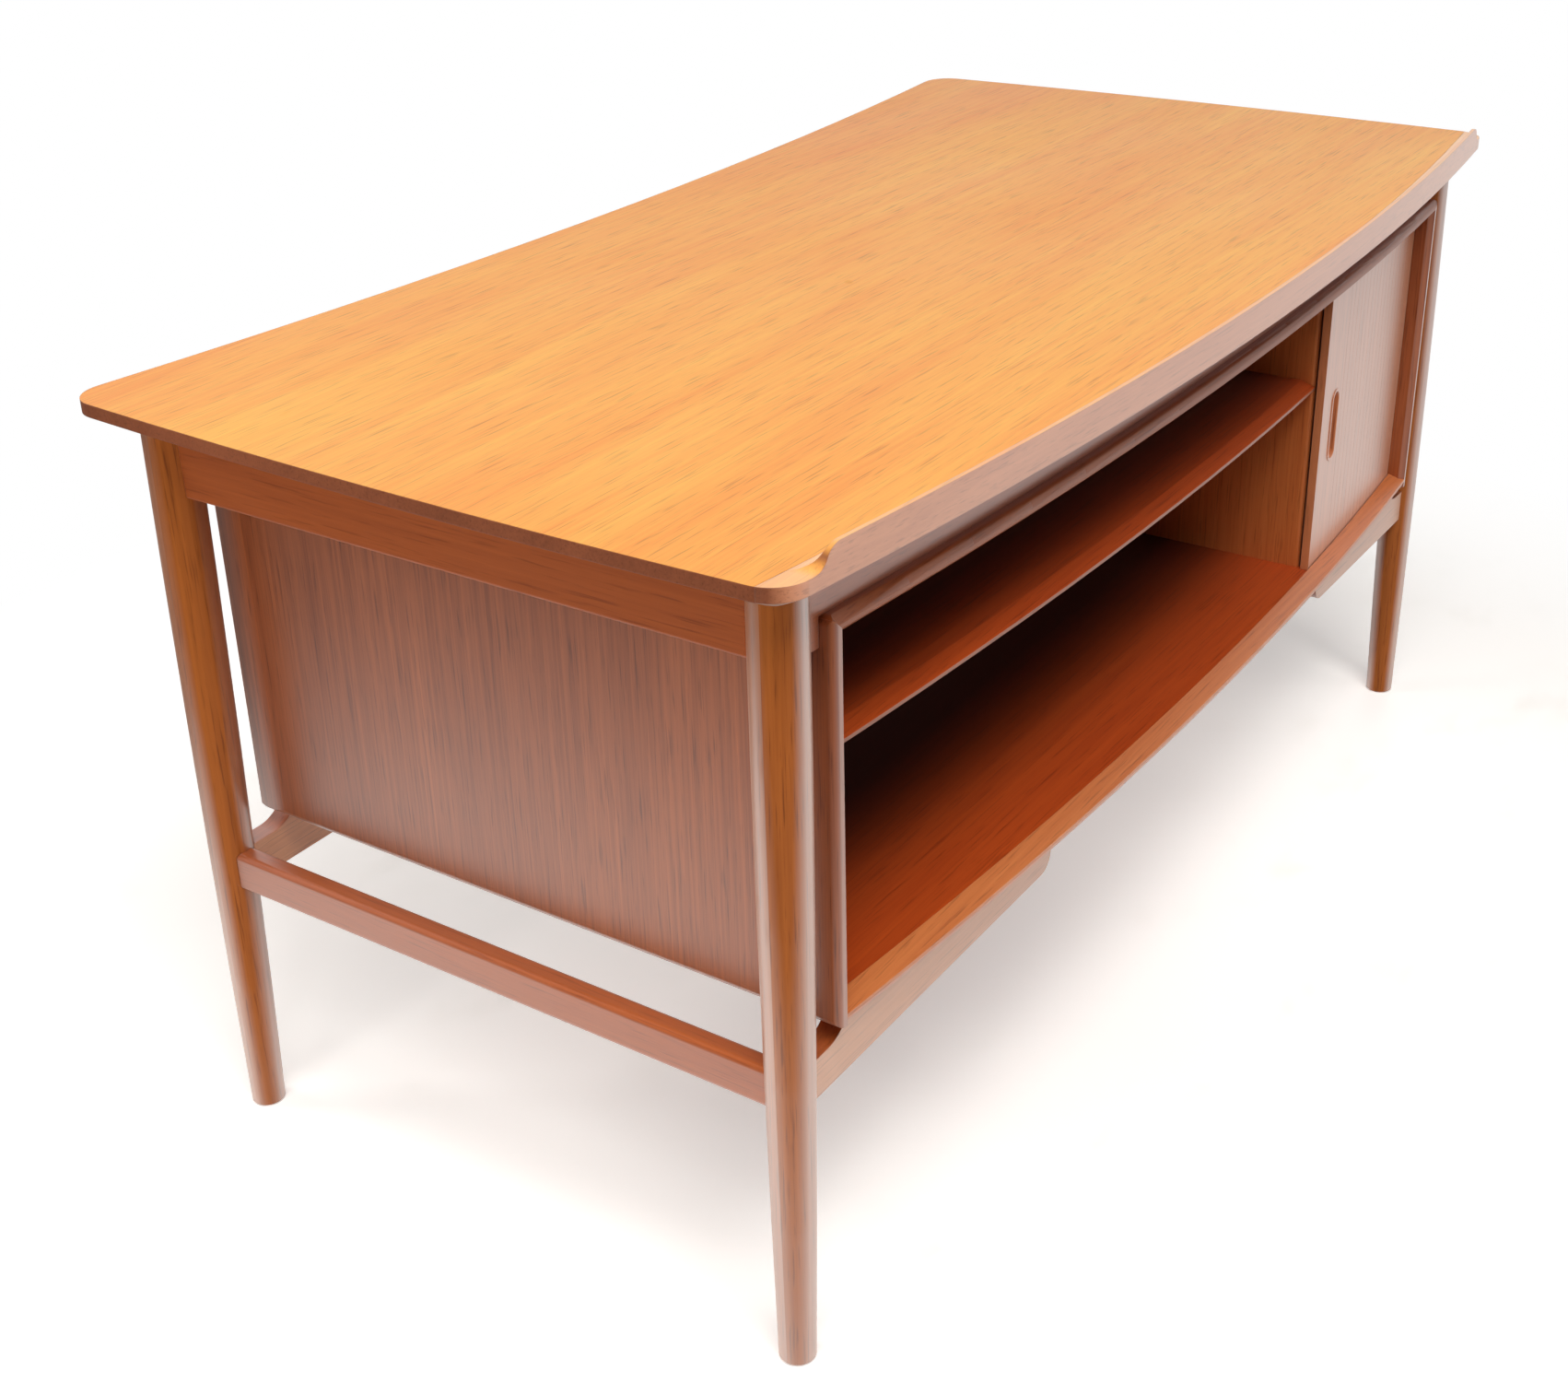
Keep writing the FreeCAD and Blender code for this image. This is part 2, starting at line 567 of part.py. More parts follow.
def bracket(row, side):
    """Bearer from a leg to the pedestal's inner side, with a saddle cut beside the leg."""
    middle = bracket_middle(row)
    y0 = middle - RAIL_THICKNESS / 2
    axis_x = leg_axis(row, RAIL_MIDDLE)[0]
    low = RAIL_BOTTOM + RAIL_HEIGHT
    climb = CASE_BOTTOM - low
    inner = CASE_HALF - PEDESTAL_WIDTHS[side]
    saddle = axis_x - LEG_MIDDLE_DIAMETER / 2 - SADDLE_FLAT
    half_turn = math.atan2(climb, SADDLE_RUN)
    curve_radius = math.hypot(SADDLE_RUN, climb) / 2 / math.sin(half_turn)
    reach = curve_radius * math.sin(half_turn)
    sag = curve_radius * (1 - math.cos(half_turn))
    corner = BRACKET_END_RADIUS * (1 - math.sqrt(0.5))
    face = outline(
        vec(axis_x, y0, RAIL_BOTTOM),
        vec(axis_x, y0, low),
        vec(saddle, y0, low),
        (vec(saddle - reach, y0, low + sag), vec(saddle - SADDLE_RUN, y0, CASE_BOTTOM)),
        vec(inner, y0, CASE_BOTTOM),
        vec(inner, y0, RAIL_BOTTOM + BRACKET_END_RADIUS),
        (vec(inner + corner, y0, RAIL_BOTTOM + corner),
         vec(inner + BRACKET_END_RADIUS, y0, RAIL_BOTTOM)))
    bar = coped(face.extrude(vec(0, RAIL_THICKNESS, 0)), (row,), 3)
    for x, y in bracket_screw_places(row, side):
        bar = bar.cut(bracket_screw(x, y, JOINT_GAP))
    return bar


# Fixings


def screw(x, y, seat, face, growth, bore_from):
    """Upright screw: head below seat, shank through to face and SCREW_BITE beyond.

    With growth it is the hole for that screw, counterbored from bore_from.
    """
    head = Part.makeCylinder(SCREW_HEAD_DIAMETER / 2 + growth, seat - bore_from + growth,
                             vec(x, y, bore_from))
    shank = Part.makeCylinder(SCREW_DIAMETER / 2 + growth, face + SCREW_BITE + growth - seat,
                              vec(x, y, seat))
    return head.fuse(shank)


def cleat_screw_places():
    middle = end_apron_middle() - APRON_THICKNESS / 2 - CLEAT_SIZE / 2
    span = CLEAT_LENGTH / CLEAT_SCREWS
    centre = (LEG_BOOKCASE_Y + LEG_SITTING_Y) / 2
    first = centre - CLEAT_LENGTH / 2 + span / 2
    return [(middle, first + span * n) for n in range(CLEAT_SCREWS)]


def cleat():
    """Batten inside an end apron, through which the top is screwed."""
    outer = end_apron_middle() - APRON_THICKNESS / 2
    centre = (LEG_BOOKCASE_Y + LEG_SITTING_Y) / 2
    half = CLEAT_LENGTH / 2
    batten = box(outer - CLEAT_SIZE, outer, centre - half, centre + half,
                 FRAME_TOP - CLEAT_SIZE, FRAME_TOP)
    for x, y in cleat_screw_places():
        batten = batten.cut(top_screw(x, y, JOINT_GAP))
    return batten


def top_screw(x, y, growth):
    seat = FRAME_TOP - CLEAT_SIZE
    return screw(x, y, seat, FRAME_TOP, growth, seat - SCREW_HEAD_HEIGHT)


def top_screws():
    found = []
    for x, y in cleat_screw_places():
        found.append(top_screw(x, y, 0))
        found.append(mirrored(top_screw(x, y, 0)))
    return found


def bracket_screw(x, y, growth):
    """Screw up through a bracket into the case; as a hole it is open from below."""
    seat = RAIL_BOTTOM + SCREW_RECESS
    head_end = RAIL_BOTTOM if growth else seat - SCREW_HEAD_HEIGHT
    return screw(x, y, seat, CASE_BOTTOM, growth, head_end)


def bracket_screws():
    found = []
    for side in ("left", "right"):
        for row in ("bookcase", "sitting"):
            for x, y in bracket_screw_places(row, side):
                found.append(on_side(bracket_screw(x, y, 0), side))
    return found


# Case boards


def bowed_board(start, *steps):
    """Board turned about the axis of the bowed case front from a section of (radius, height) points.

    A step that holds two points is the middle and the end of an arc.
    """
    def place(point):
        return vec(0, CASE_CENTRE - point[0], point[1])

    placed = []
    for step in steps:
        is_arc = isinstance(step[0], tuple)
        placed.append((place(step[0]), place(step[1])) if is_arc else place(step))
    section = outline(place(start), *placed)
    reach = math.degrees(case_angle(CASE_HALF + BOARD, CASE_RADIUS - BOOKCASE_DEPTH))
    axis = vec(0, CASE_CENTRE, 0)
    section.rotate(axis, UP, -reach)
    return section.revolve(axis, UP, 2 * reach)


def half_round(over_side):
    """Middle of the half of the corner round that lies on the side board or on the top board."""
    turn = math.pi / 8
    small = EDGE_ROUND * (1 - math.cos(turn))
    large = EDGE_ROUND * (1 - math.sin(turn))
    return (CASE_HALF - small, CASE_TOP - large) if over_side else (CASE_HALF - large, CASE_TOP - small)


def outer_corners():
    """Outer line of the right-hand case side in plan, from its front thin edge to its sitting one."""
    flat_out = CASE_HALF - EDGE_ROUND
    bend = EDGE_ROUND * (1 - math.sqrt(0.5))
    front = CASE_CENTRE - math.sqrt(CASE_RADIUS ** 2 - flat_out ** 2)
    long_start = SITTING_FACE - SITTING_ROUND_REACH
    long_radius = bow_radius(SITTING_ROUND_REACH, EDGE_ROUND)
    half_turn = math.asin(SITTING_ROUND_REACH / long_radius) / 2
    long_middle = vec(CASE_HALF - long_radius * (1 - math.cos(half_turn)),
                      long_start + long_radius * math.sin(half_turn), 0)
    return [
        vec(flat_out, front, 0),
        (vec(CASE_HALF - bend, front + bend, 0), vec(CASE_HALF, front + EDGE_ROUND, 0)),
        vec(CASE_HALF, long_start, 0),
        (long_middle, vec(flat_out, SITTING_FACE, 0))]


def case_room():
    """Everything inside the outer faces of both case sides, without limit along Y."""
    flat_out = CASE_HALF - EDGE_ROUND
    half = outline(vec(0, -TOP_DEPTH, 0), vec(flat_out, -TOP_DEPTH, 0), *outer_corners(),
                   vec(flat_out, TOP_DEPTH, 0), vec(0, TOP_DEPTH, 0)).extrude(UP * SURFACE_HEIGHT)
    return half.fuse(mirrored(half))


def case_side(side):
    """Right-hand case side: thin edges, rounded to the outer face, mitred at the top."""
    flat_out = CASE_HALF - EDGE_ROUND
    flat_in = flat_out - EDGE_FLAT
    bend = EDGE_ROUND * (1 - math.sqrt(0.5))
    front_in = CASE_CENTRE - math.sqrt(CASE_RADIUS ** 2 - flat_in ** 2)
    plan = outline(
        vec(CASE_INSIDE, front_in + EDGE_INNER_BEVEL, 0),
        vec(flat_in, front_in, 0),
        *outer_corners(),
        vec(flat_in, SITTING_FACE, 0),
        vec(CASE_INSIDE, SITTING_FACE - EDGE_INNER_BEVEL, 0))
    y = -TOP_DEPTH
    round_x, round_z = half_round(True)
    section = outline(
        vec(CASE_INSIDE, y, CASE_BOTTOM),
        vec(flat_out, y, CASE_BOTTOM),
        (vec(CASE_HALF - bend, y, CASE_BOTTOM + bend), vec(CASE_HALF, y, CASE_BOTTOM + EDGE_ROUND)),
        vec(CASE_HALF, y, CASE_TOP - EDGE_ROUND),
        (vec(round_x, y, round_z), vec(CASE_HALF - bend, y, CASE_TOP - bend)),
        vec(CASE_INSIDE, y, CASE_CEILING))
    board = plan.extrude(UP * CASE_TOP).common(section.extrude(vec(0, 2 * TOP_DEPTH, 0)))
    board = board.cut(back_panel(JOINT_GAP))
    if side == "left":
        for hole in side_pins(JOINT_GAP):
            board = board.cut(hole)
    return board


def lid_section(left, right):
    """Prism that gives an upper board its ends: "mitre" at a case side, or a plain X."""
    y = -TOP_DEPTH
    bend = EDGE_ROUND * (1 - math.sqrt(0.5))
    round_x, round_z = half_round(False)
    points = []
    if left == "mitre":
        points += [vec(-CASE_HALF + EDGE_ROUND, y, CASE_TOP),
                   (vec(-round_x, y, round_z), vec(-CASE_HALF + bend, y, CASE_TOP - bend)),
                   vec(-CASE_INSIDE, y, CASE_CEILING)]
    else:
        points += [vec(left, y, CASE_TOP), vec(left, y, CASE_CEILING)]
    if right == "mitre":
        points += [vec(CASE_INSIDE, y, CASE_CEILING), vec(CASE_HALF - bend, y, CASE_TOP - bend),
                   (vec(round_x, y, round_z), vec(CASE_HALF - EDGE_ROUND, y, CASE_TOP))]
    else:
        points += [vec(right, y, CASE_CEILING), vec(right, y, CASE_TOP)]
    return outline(*points).extrude(vec(0, 2 * TOP_DEPTH, 0))


def door_groove():
    """Groove in the bookcase top board that holds the slats' upper ends."""
    reach = case_angle(CASE_INSIDE, DOOR_FACE_RADIUS)
    groove = arc_board(DOOR_BACK_RADIUS - DOOR_CLEARANCE, DOOR_FACE_RADIUS + DOOR_CLEARANCE,
                       -reach, reach, CASE_CENTRE, CASE_CEILING, CASE_CEILING + GROOVE_DEPTH)
    return groove.common(between_sides())


def between_sides():
    return box(-CASE_INSIDE, CASE_INSIDE, -TOP_DEPTH, TOP_DEPTH, 0, SURFACE_HEIGHT)


def bookcase_top():
    """Upper board: bowed thin edge, mitred to the sides, with the door's groove."""
    flat = CASE_CEILING + EDGE_INNER_BEVEL
    bend = EDGE_ROUND * (1 - math.sqrt(0.5))
    board = bowed_board(
        (BOARD_INNER_RADIUS, CASE_CEILING),
        (CASE_RADIUS - EDGE_INNER_BEVEL, CASE_CEILING),
        (CASE_RADIUS, flat),
        (CASE_RADIUS, flat + EDGE_FLAT),
        ((CASE_RADIUS - bend, CASE_TOP - bend), (CASE_RADIUS - EDGE_ROUND, CASE_TOP)),
        (BOARD_INNER_RADIUS, CASE_TOP))
    room = box(-CASE_HALF, CASE_HALF, -TOP_DEPTH, BOOKCASE_REAR, 0, SURFACE_HEIGHT)
    board = board.common(room).common(lid_section("mitre", "mitre")).common(case_room())
    return board.cut(door_groove()).cut(back_panel(JOINT_GAP))


def bookcase_floor():
    """Lower board and the sloping lipping along its front."""
    flat = CASE_BOTTOM + EDGE_ROUND
    bend = EDGE_ROUND * (1 - math.sqrt(0.5))
    joint = CASE_RADIUS - FRONT_SLOPE_REACH
    lipping = bowed_board(
        (joint, CASE_BOTTOM),
        (CASE_RADIUS - EDGE_ROUND, CASE_BOTTOM),
        (CASE_RADIUS - bend, CASE_BOTTOM + bend),
        (CASE_RADIUS, flat),
        (CASE_RADIUS, flat + EDGE_FLAT),
        (joint, CASE_FLOOR))
    board = bowed_board(
        (BOARD_INNER_RADIUS, CASE_BOTTOM),
        (joint, CASE_BOTTOM),
        (joint, BOOKCASE_FLOOR),
        (BOARD_INNER_RADIUS, BOOKCASE_FLOOR))
    flat_in = CASE_HALF - EDGE_ROUND - EDGE_FLAT
    room = box(-flat_in, flat_in, -TOP_DEPTH, BOOKCASE_REAR, 0, SURFACE_HEIGHT)
    front_in = CASE_CENTRE - math.sqrt(CASE_RADIUS ** 2 - flat_in ** 2)
    ends = [(CASE_INSIDE, BOOKCASE_REAR), (CASE_INSIDE, front_in + EDGE_INNER_BEVEL),
            (flat_in, front_in), (flat_in, -TOP_DEPTH)]
    plan = [vec(x, y, 0) for x, y in ends] + [vec(-x, y, 0) for x, y in reversed(ends)]
    lipping = lipping.common(outline(*plan).extrude(UP * SURFACE_HEIGHT))
    board = board.common(room).common(between_sides()).cut(back_panel(JOINT_GAP))
    for side_name in ("left", "right"):
        for x, y in bracket_screw_places("bookcase", side_name):
            board = board.cut(on_side(bracket_screw(x, y, JOINT_GAP), side_name))
    return board, lipping


def back_panel(growth):
    """Bookcase back, housed in the boards around it; growth makes the housing."""
    half = CASE_INSIDE + BACK_HOUSING + growth
    return box(-half, half, BACK_FRONT - growth, BACK_REAR + growth,
               BOOKCASE_FLOOR - BACK_HOUSING - growth, CASE_CEILING + BACK_HOUSING + growth)


def inner_front(shape):
    """Cuts a shelf or divider back to the bow behind the door."""
    reach = case_angle(CASE_HALF, INNER_FRONT_RADIUS)
    bay = arc_board(CASE_RADIUS - TOP_DEPTH, INNER_FRONT_RADIUS, -reach, reach,
                    CASE_CENTRE, 0, SURFACE_HEIGHT)
    return shape.common(bay)


def bookcase_divider():
    """Upright between the open bay and the cupboard, with a rounded front."""
    board = box(DIVIDER_LEFT, DIVIDER_RIGHT, CASE_FRONT, BACK_FRONT, BOOKCASE_FLOOR, CASE_CEILING)
    board = inner_front(board)
    front = [edge for edge in board.Edges
             if edge.BoundBox.ZLength > CASE_HEIGHT / 2 and edge.CenterOfMass.y < BACK_FRONT - BOARD]
    board = board.makeFillet(DIVIDER_EDGE_ROUND, front)
    for hole in divider_pins(JOINT_GAP):
        board = board.cut(hole)
    return board


def bookcase_shelf():
    """Shelf of the open bay: its front slopes above and below to a thin edge."""
    upper = SHELF_TOP - SHELF_EDGE_DROP
    lower = upper - EDGE_FLAT
    shelf = bowed_board(
        (BOARD_INNER_RADIUS, SHELF_BOTTOM),
        (INNER_FRONT_RADIUS - SHELF_EDGE_REACH, SHELF_BOTTOM),
        (INNER_FRONT_RADIUS, lower),
        (INNER_FRONT_RADIUS, upper),
        (INNER_FRONT_RADIUS - SHELF_EDGE_REACH, SHELF_TOP),
        (BOARD_INNER_RADIUS, SHELF_TOP))
    room = box(-CASE_INSIDE + SHELF_END_GAP, DIVIDER_LEFT - SHELF_END_GAP,
               -TOP_DEPTH, BACK_FRONT - SHELF_END_GAP, 0, SURFACE_HEIGHT)
    return shelf.common(room)


def pin(x, direction, y, growth):
    """Shelf pin that stands out of a wall at x, towards direction."""
    start = vec(x - direction * (PIN_DEPTH + growth), y, SHELF_BOTTOM - PIN_DIAMETER / 2)
    length = PIN_DEPTH + PIN_STANDOUT + growth
    return Part.makeCylinder(PIN_DIAMETER / 2 + growth, length, start, vec(direction, 0, 0))


def pin_rows():
    front = CASE_FRONT + CASE_FRONT_BOW + CASE_RADIUS - INNER_FRONT_RADIUS + PIN_INSET
    return front, BACK_FRONT - PIN_INSET


def side_pins(growth):
    """Pins of the open bay in the left case side, drawn on the right for mirroring."""
    return [pin(CASE_INSIDE, -1, y, growth) for y in pin_rows()]


def divider_pins(growth):
    return [pin(DIVIDER_LEFT, -1, y, growth) for y in pin_rows()]


# Tambour door


def pull_oval(length, width, front, back):
    """Upright oval block about the origin, from Y = front to Y = back."""
    half = width / 2
    straight = length / 2 - half
    face = outline(
        vec(-half, front, -straight),
        (vec(0, front, -straight - half), vec(half, front, -straight)),
        vec(half, front, straight),
        (vec(0, front, straight + half), vec(-half, front, straight)))
    return face.extrude(vec(0, back - front, 0))


def pull_cup():
    """Hollow oval pull with a rounded rim; the face it sits in is Y = 0, outside is -Y."""
    cup = pull_oval(PULL_LENGTH, PULL_WIDTH, -PULL_RIM_RISE, PULL_DEPTH + PULL_FLOOR)
    hollow = pull_oval(PULL_LENGTH - 2 * PULL_RIM, PULL_WIDTH - 2 * PULL_RIM,
                       -PULL_RIM_RISE, PULL_DEPTH)
    cup = cup.cut(hollow)
    rim = [edge for edge in cup.Edges if edge.BoundBox.YMax < -PULL_RIM_RISE / 2]
    return cup.makeFillet(PULL_RIM_ROUND, rim)


def pull_pocket(growth):
    return pull_oval(PULL_LENGTH + 2 * growth, PULL_WIDTH + 2 * growth, -PULL_DEPTH,
                     PULL_DEPTH + PULL_FLOOR + growth)


def on_door(shape):
    """Moves a pull from the origin to its place on the door's lead stile."""
    angle = case_angle(DOOR_LEFT + PULL_INSET, DOOR_FACE_RADIUS)
    placed = shape.copy()
    placed.rotate(vec(0, 0, 0), UP, math.degrees(angle))
    placed.translate(arc_point(DOOR_FACE_RADIUS, angle, CASE_CENTRE, CASE_FLOOR + PULL_HEIGHT))
    return placed


def door_angles():
    """Angles of the door's left edge, the lead stile's end and the door's right edge."""
    left = case_angle(DOOR_LEFT, DOOR_FACE_RADIUS)
    right = case_angle(DOOR_RIGHT, DOOR_FACE_RADIUS)
    return left, left + LEAD_STILE_WIDTH / DOOR_FACE_RADIUS, right


def slat(start, end):
    return arc_board(DOOR_BACK_RADIUS, DOOR_FACE_RADIUS, start, end, CASE_CENTRE,
                     BOOKCASE_FLOOR + RUNNER_CLEARANCE, CASE_CEILING + GROOVE_DEPTH - DOOR_CLEARANCE)


def lead_stile():
    left, end, right = door_angles()
    return slat(left, end - SLAT_GAP / DOOR_FACE_RADIUS).cut(on_door(pull_pocket(JOINT_GAP)))


def slats():
    """The narrow slats behind the lead stile, side by side on the canvas."""
    left, start, right = door_angles()
    count = max(1, round((right - start) * DOOR_FACE_RADIUS / SLAT_PITCH))
    pitch = (right - start) / count
    gap = SLAT_GAP / DOOR_FACE_RADIUS
    return [slat(start + n * pitch, start + (n + 1) * pitch - gap) for n in range(count)]


def canvas():
    left, end, right = door_angles()
    margin = CANVAS_MARGIN / DOOR_FACE_RADIUS
    return arc_board(CANVAS_BACK_RADIUS, DOOR_BACK_RADIUS - JOINT_GAP, left + margin, right - margin,
                     CASE_CENTRE, BOOKCASE_FLOOR + CANVAS_MARGIN, CASE_CEILING - CANVAS_MARGIN)


# Pedestals and drawers, drawn for the right end


def pedestal_inner(side):
    """X of the kneehole face of a pedestal."""
    return CASE_HALF - PEDESTAL_WIDTHS[side]


def pedestal_inner_side(side):
    """Upright beside the kneehole, rounded to its thin sitting edge."""
    face = pedestal_inner(side)
    wall = face + BOARD
    bend = EDGE_ROUND * (1 - math.sqrt(0.5))
    plan = outline(
        vec(face, BOOKCASE_REAR, CASE_BOTTOM),
        vec(wall, BOOKCASE_REAR, CASE_BOTTOM),
        vec(wall, SITTING_FACE - EDGE_INNER_BEVEL, CASE_BOTTOM),
        vec(wall - EDGE_INNER_BEVEL, SITTING_FACE, CASE_BOTTOM),
        vec(face + EDGE_ROUND, SITTING_FACE, CASE_BOTTOM),
        (vec(face + bend, SITTING_FACE - bend, CASE_BOTTOM),
         vec(face, SITTING_FACE - EDGE_ROUND, CASE_BOTTOM)))
    return plan.extrude(UP * CASE_HEIGHT)


def pedestal_board(side, low, outer_up):
    """Straight board between a pedestal's sides, with a thin sitting edge."""
    high = low + BOARD
    x = pedestal_inner(side) + BOARD
    bend = EDGE_ROUND * (1 - math.sqrt(0.5))
    flat_low = low + (EDGE_INNER_BEVEL if outer_up else EDGE_ROUND)
    flat_high = flat_low + EDGE_FLAT
    if outer_up:
        lower = [vec(x, SITTING_FACE - EDGE_INNER_BEVEL, low), vec(x, SITTING_FACE, flat_low)]
        upper = [vec(x, SITTING_FACE, flat_high),
                 (vec(x, SITTING_FACE - bend, high - bend), vec(x, SITTING_FACE - EDGE_ROUND, high))]
    else:
        lower = [vec(x, SITTING_FACE - EDGE_ROUND, low),
                 (vec(x, SITTING_FACE - bend, low + bend), vec(x, SITTING_FACE, flat_low))]
        upper = [vec(x, SITTING_FACE, flat_high), vec(x, SITTING_FACE - EDGE_INNER_BEVEL, high)]
    section = outline(vec(x, BOOKCASE_REAR, low), *lower, *upper, vec(x, BOOKCASE_REAR, high))
    return section.extrude(vec(CASE_HALF - x, 0, 0))


def pedestal_top(side):
    board = pedestal_board(side, CASE_CEILING, True)
    return board.common(lid_section(pedestal_inner(side) + BOARD, "mitre")).common(case_room())


def pedestal_bottom(side):
    board = pedestal_board(side, CASE_BOTTOM, False).common(between_sides())
    for x, y in bracket_screw_places("sitting", side):
        board = board.cut(bracket_screw(x, y, JOINT_GAP))
    return board


def drawer_base(level):
    return CASE_FLOOR + DRAWER_GAP + DRAWER_LEVELS.index(level) * DRAWER_PITCH


def drawer_span(side):
    """X of the two pedestal walls beside the drawers."""
    return pedestal_inner(side) + BOARD, CASE_INSIDE


def drawer_bottom(side, level, growth):
    """Thin bottom board, housed in the drawer's front, sides and back."""
    low, high = drawer_span(side)
    inset = DRAWER_WALL_GAP + DRAWER_SIDE_THICKNESS - DRAWER_BOTTOM_HOUSING - growth
    z = drawer_base(level) + DRAWER_SIDE_MARGIN + DRAWER_BOTTOM_RISE
    rear = DRAWER_REAR + DRAWER_SIDE_THICKNESS - DRAWER_BOTTOM_HOUSING
    return box(low + inset, high - inset, rear - growth, DRAWER_FRONT_BACK + DRAWER_BOTTOM_HOUSING + growth,
               z - growth, z + DRAWER_BOTTOM_THICKNESS + growth)


def drawer_front(side, level):
    """Drawer front with the same oval pull, laid on its side."""
    low, high = drawer_span(side)
    z = drawer_base(level)
    front = box(low + DRAWER_FRONT_SIDE_GAP, high - DRAWER_FRONT_SIDE_GAP, DRAWER_FRONT_BACK, DRAWER_FACE,
                z, z + DRAWER_HEIGHT)
    middle = vec((low + high) / 2, DRAWER_FACE, z + DRAWER_HEIGHT / 2)
    for shape, joined in ((pull_pocket(0), False), (pull_cup(), True)):
        shape.rotate(vec(0, 0, 0), vec(0, 1, 0), 90)
        shape.rotate(vec(0, 0, 0), UP, 180)
        shape.translate(middle)
        front = front.fuse(shape) if joined else front.cut(shape)
    return front.removeSplitter().cut(drawer_bottom(side, level, JOINT_GAP))


def runner_middle(level):
    return drawer_base(level) + DRAWER_HEIGHT / 2


def drawer_box(side, level):
    """Two sides, grooved for the runners, and the back between them."""
    low, high = drawer_span(side)
    z0 = drawer_base(level) + DRAWER_SIDE_MARGIN
    z1 = drawer_base(level) + DRAWER_HEIGHT - DRAWER_SIDE_MARGIN
    groove_half = RUNNER_HEIGHT / 2 + RUNNER_CLEARANCE
    groove_depth = RUNNER_ENGAGEMENT + RUNNER_CLEARANCE
    middle = runner_middle(level)
    pieces = []
    for wall, inward in ((low, 1), (high, -1)):
        outer = wall + inward * DRAWER_WALL_GAP
        board = box(outer, outer + inward * DRAWER_SIDE_THICKNESS, DRAWER_REAR, DRAWER_FRONT_BACK, z0, z1)
        groove = box(outer, outer + inward * groove_depth, DRAWER_REAR, RUNNER_FRONT + RUNNER_CLEARANCE,
                     middle - groove_half, middle + groove_half)
        pieces.append(board.cut(groove))
    inset = DRAWER_WALL_GAP + DRAWER_SIDE_THICKNESS
    pieces.append(box(low + inset, high - inset, DRAWER_REAR, DRAWER_REAR + DRAWER_SIDE_THICKNESS, z0, z1))
    housing = drawer_bottom(side, level, JOINT_GAP)
    return [piece.cut(housing) for piece in pieces]


def runners(side):
    """Strips on both walls of a pedestal, one pair for each drawer."""
    low, high = drawer_span(side)
    reach = DRAWER_WALL_GAP + RUNNER_ENGAGEMENT
    strips = []
    for level in DRAWER_LEVELS:
        z = runner_middle(level) - RUNNER_HEIGHT / 2
        for wall, inward in ((low, 1), (high, -1)):
            strips.append(box(wall, wall + inward * reach, RUNNER_REAR, RUNNER_FRONT,
                              z, z + RUNNER_HEIGHT))
    return strips


def group(shapes):
    return Part.makeCompound(shapes)


def build_frame():
    panel, lip = desk_top()
    for screw_hole in cleat_screw_places():
        hole = top_screw(screw_hole[0], screw_hole[1], JOINT_GAP)
        panel = panel.cut(hole).cut(mirrored(hole))
    export("top_panel", panel)
    export("top_lip", lip)
    export("bookcase_apron", bookcase_apron())
    export("sitting_apron", sitting_apron())
    for side in ("left", "right"):
        export("end_apron_" + side, on_side(end_apron(), side))
        export("end_stretcher_" + side, on_side(end_stretcher(), side))
        for row in ("bookcase", "sitting"):
            export("leg_" + row + "_" + side, on_side(leg(row), side))
            export("bracket_" + row + "_" + side, on_side(bracket(row, side), side))
    export("top_cleats", group([cleat(), mirrored(cleat())]))
    export("top_screws", group(top_screws()))
    export("bracket_screws", group(bracket_screws()))


def build_case():
    board, lipping = bookcase_floor()
    export("bookcase_bottom", board)
    export("bookcase_bottom_lipping", lipping)
    export("bookcase_top", bookcase_top())
    export("bookcase_back", back_panel(0))
    export("bookcase_divider", bookcase_divider())
    export("bookcase_shelf", bookcase_shelf())
    export("shelf_pins", group([mirrored(one) for one in side_pins(0)] + divider_pins(0)))
    for side in ("left", "right"):
        export("case_side_" + side, on_side(case_side(side), side))
        export("pedestal_inner_side_" + side, on_side(pedestal_inner_side(side), side))
        export("pedestal_top_" + side, on_side(pedestal_top(side), side))
        export("pedestal_bottom_" + side, on_side(pedestal_bottom(side), side))
        export("drawer_runners_" + side, on_side(group(runners(side)), side))


def build_door():
    export("tambour_slats", group(slats()))
    export("tambour_lead_stile", lead_stile())
    export("tambour_canvas", canvas())
    export("tambour_pull", on_door(pull_cup()))


def build_drawers():
    for side in ("left", "right"):
        for level in DRAWER_LEVELS:
            name = "drawer_" + side + "_" + level
            export(name + "_front", on_side(drawer_front(side, level), side))
            export(name + "_box", on_side(group(drawer_box(side, level)), side))
            export(name + "_bottom", on_side(drawer_bottom(side, level, 0), side))


os.makedirs("parts", exist_ok=True)
build_frame()
build_case()
build_door()
build_drawers()
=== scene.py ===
"""Dresses the tambour desk in oiled teak and sets it on a pale studio floor, seen as it was photographed."""
import math

import bmesh
import bpy
from mathutils import Matrix, Vector


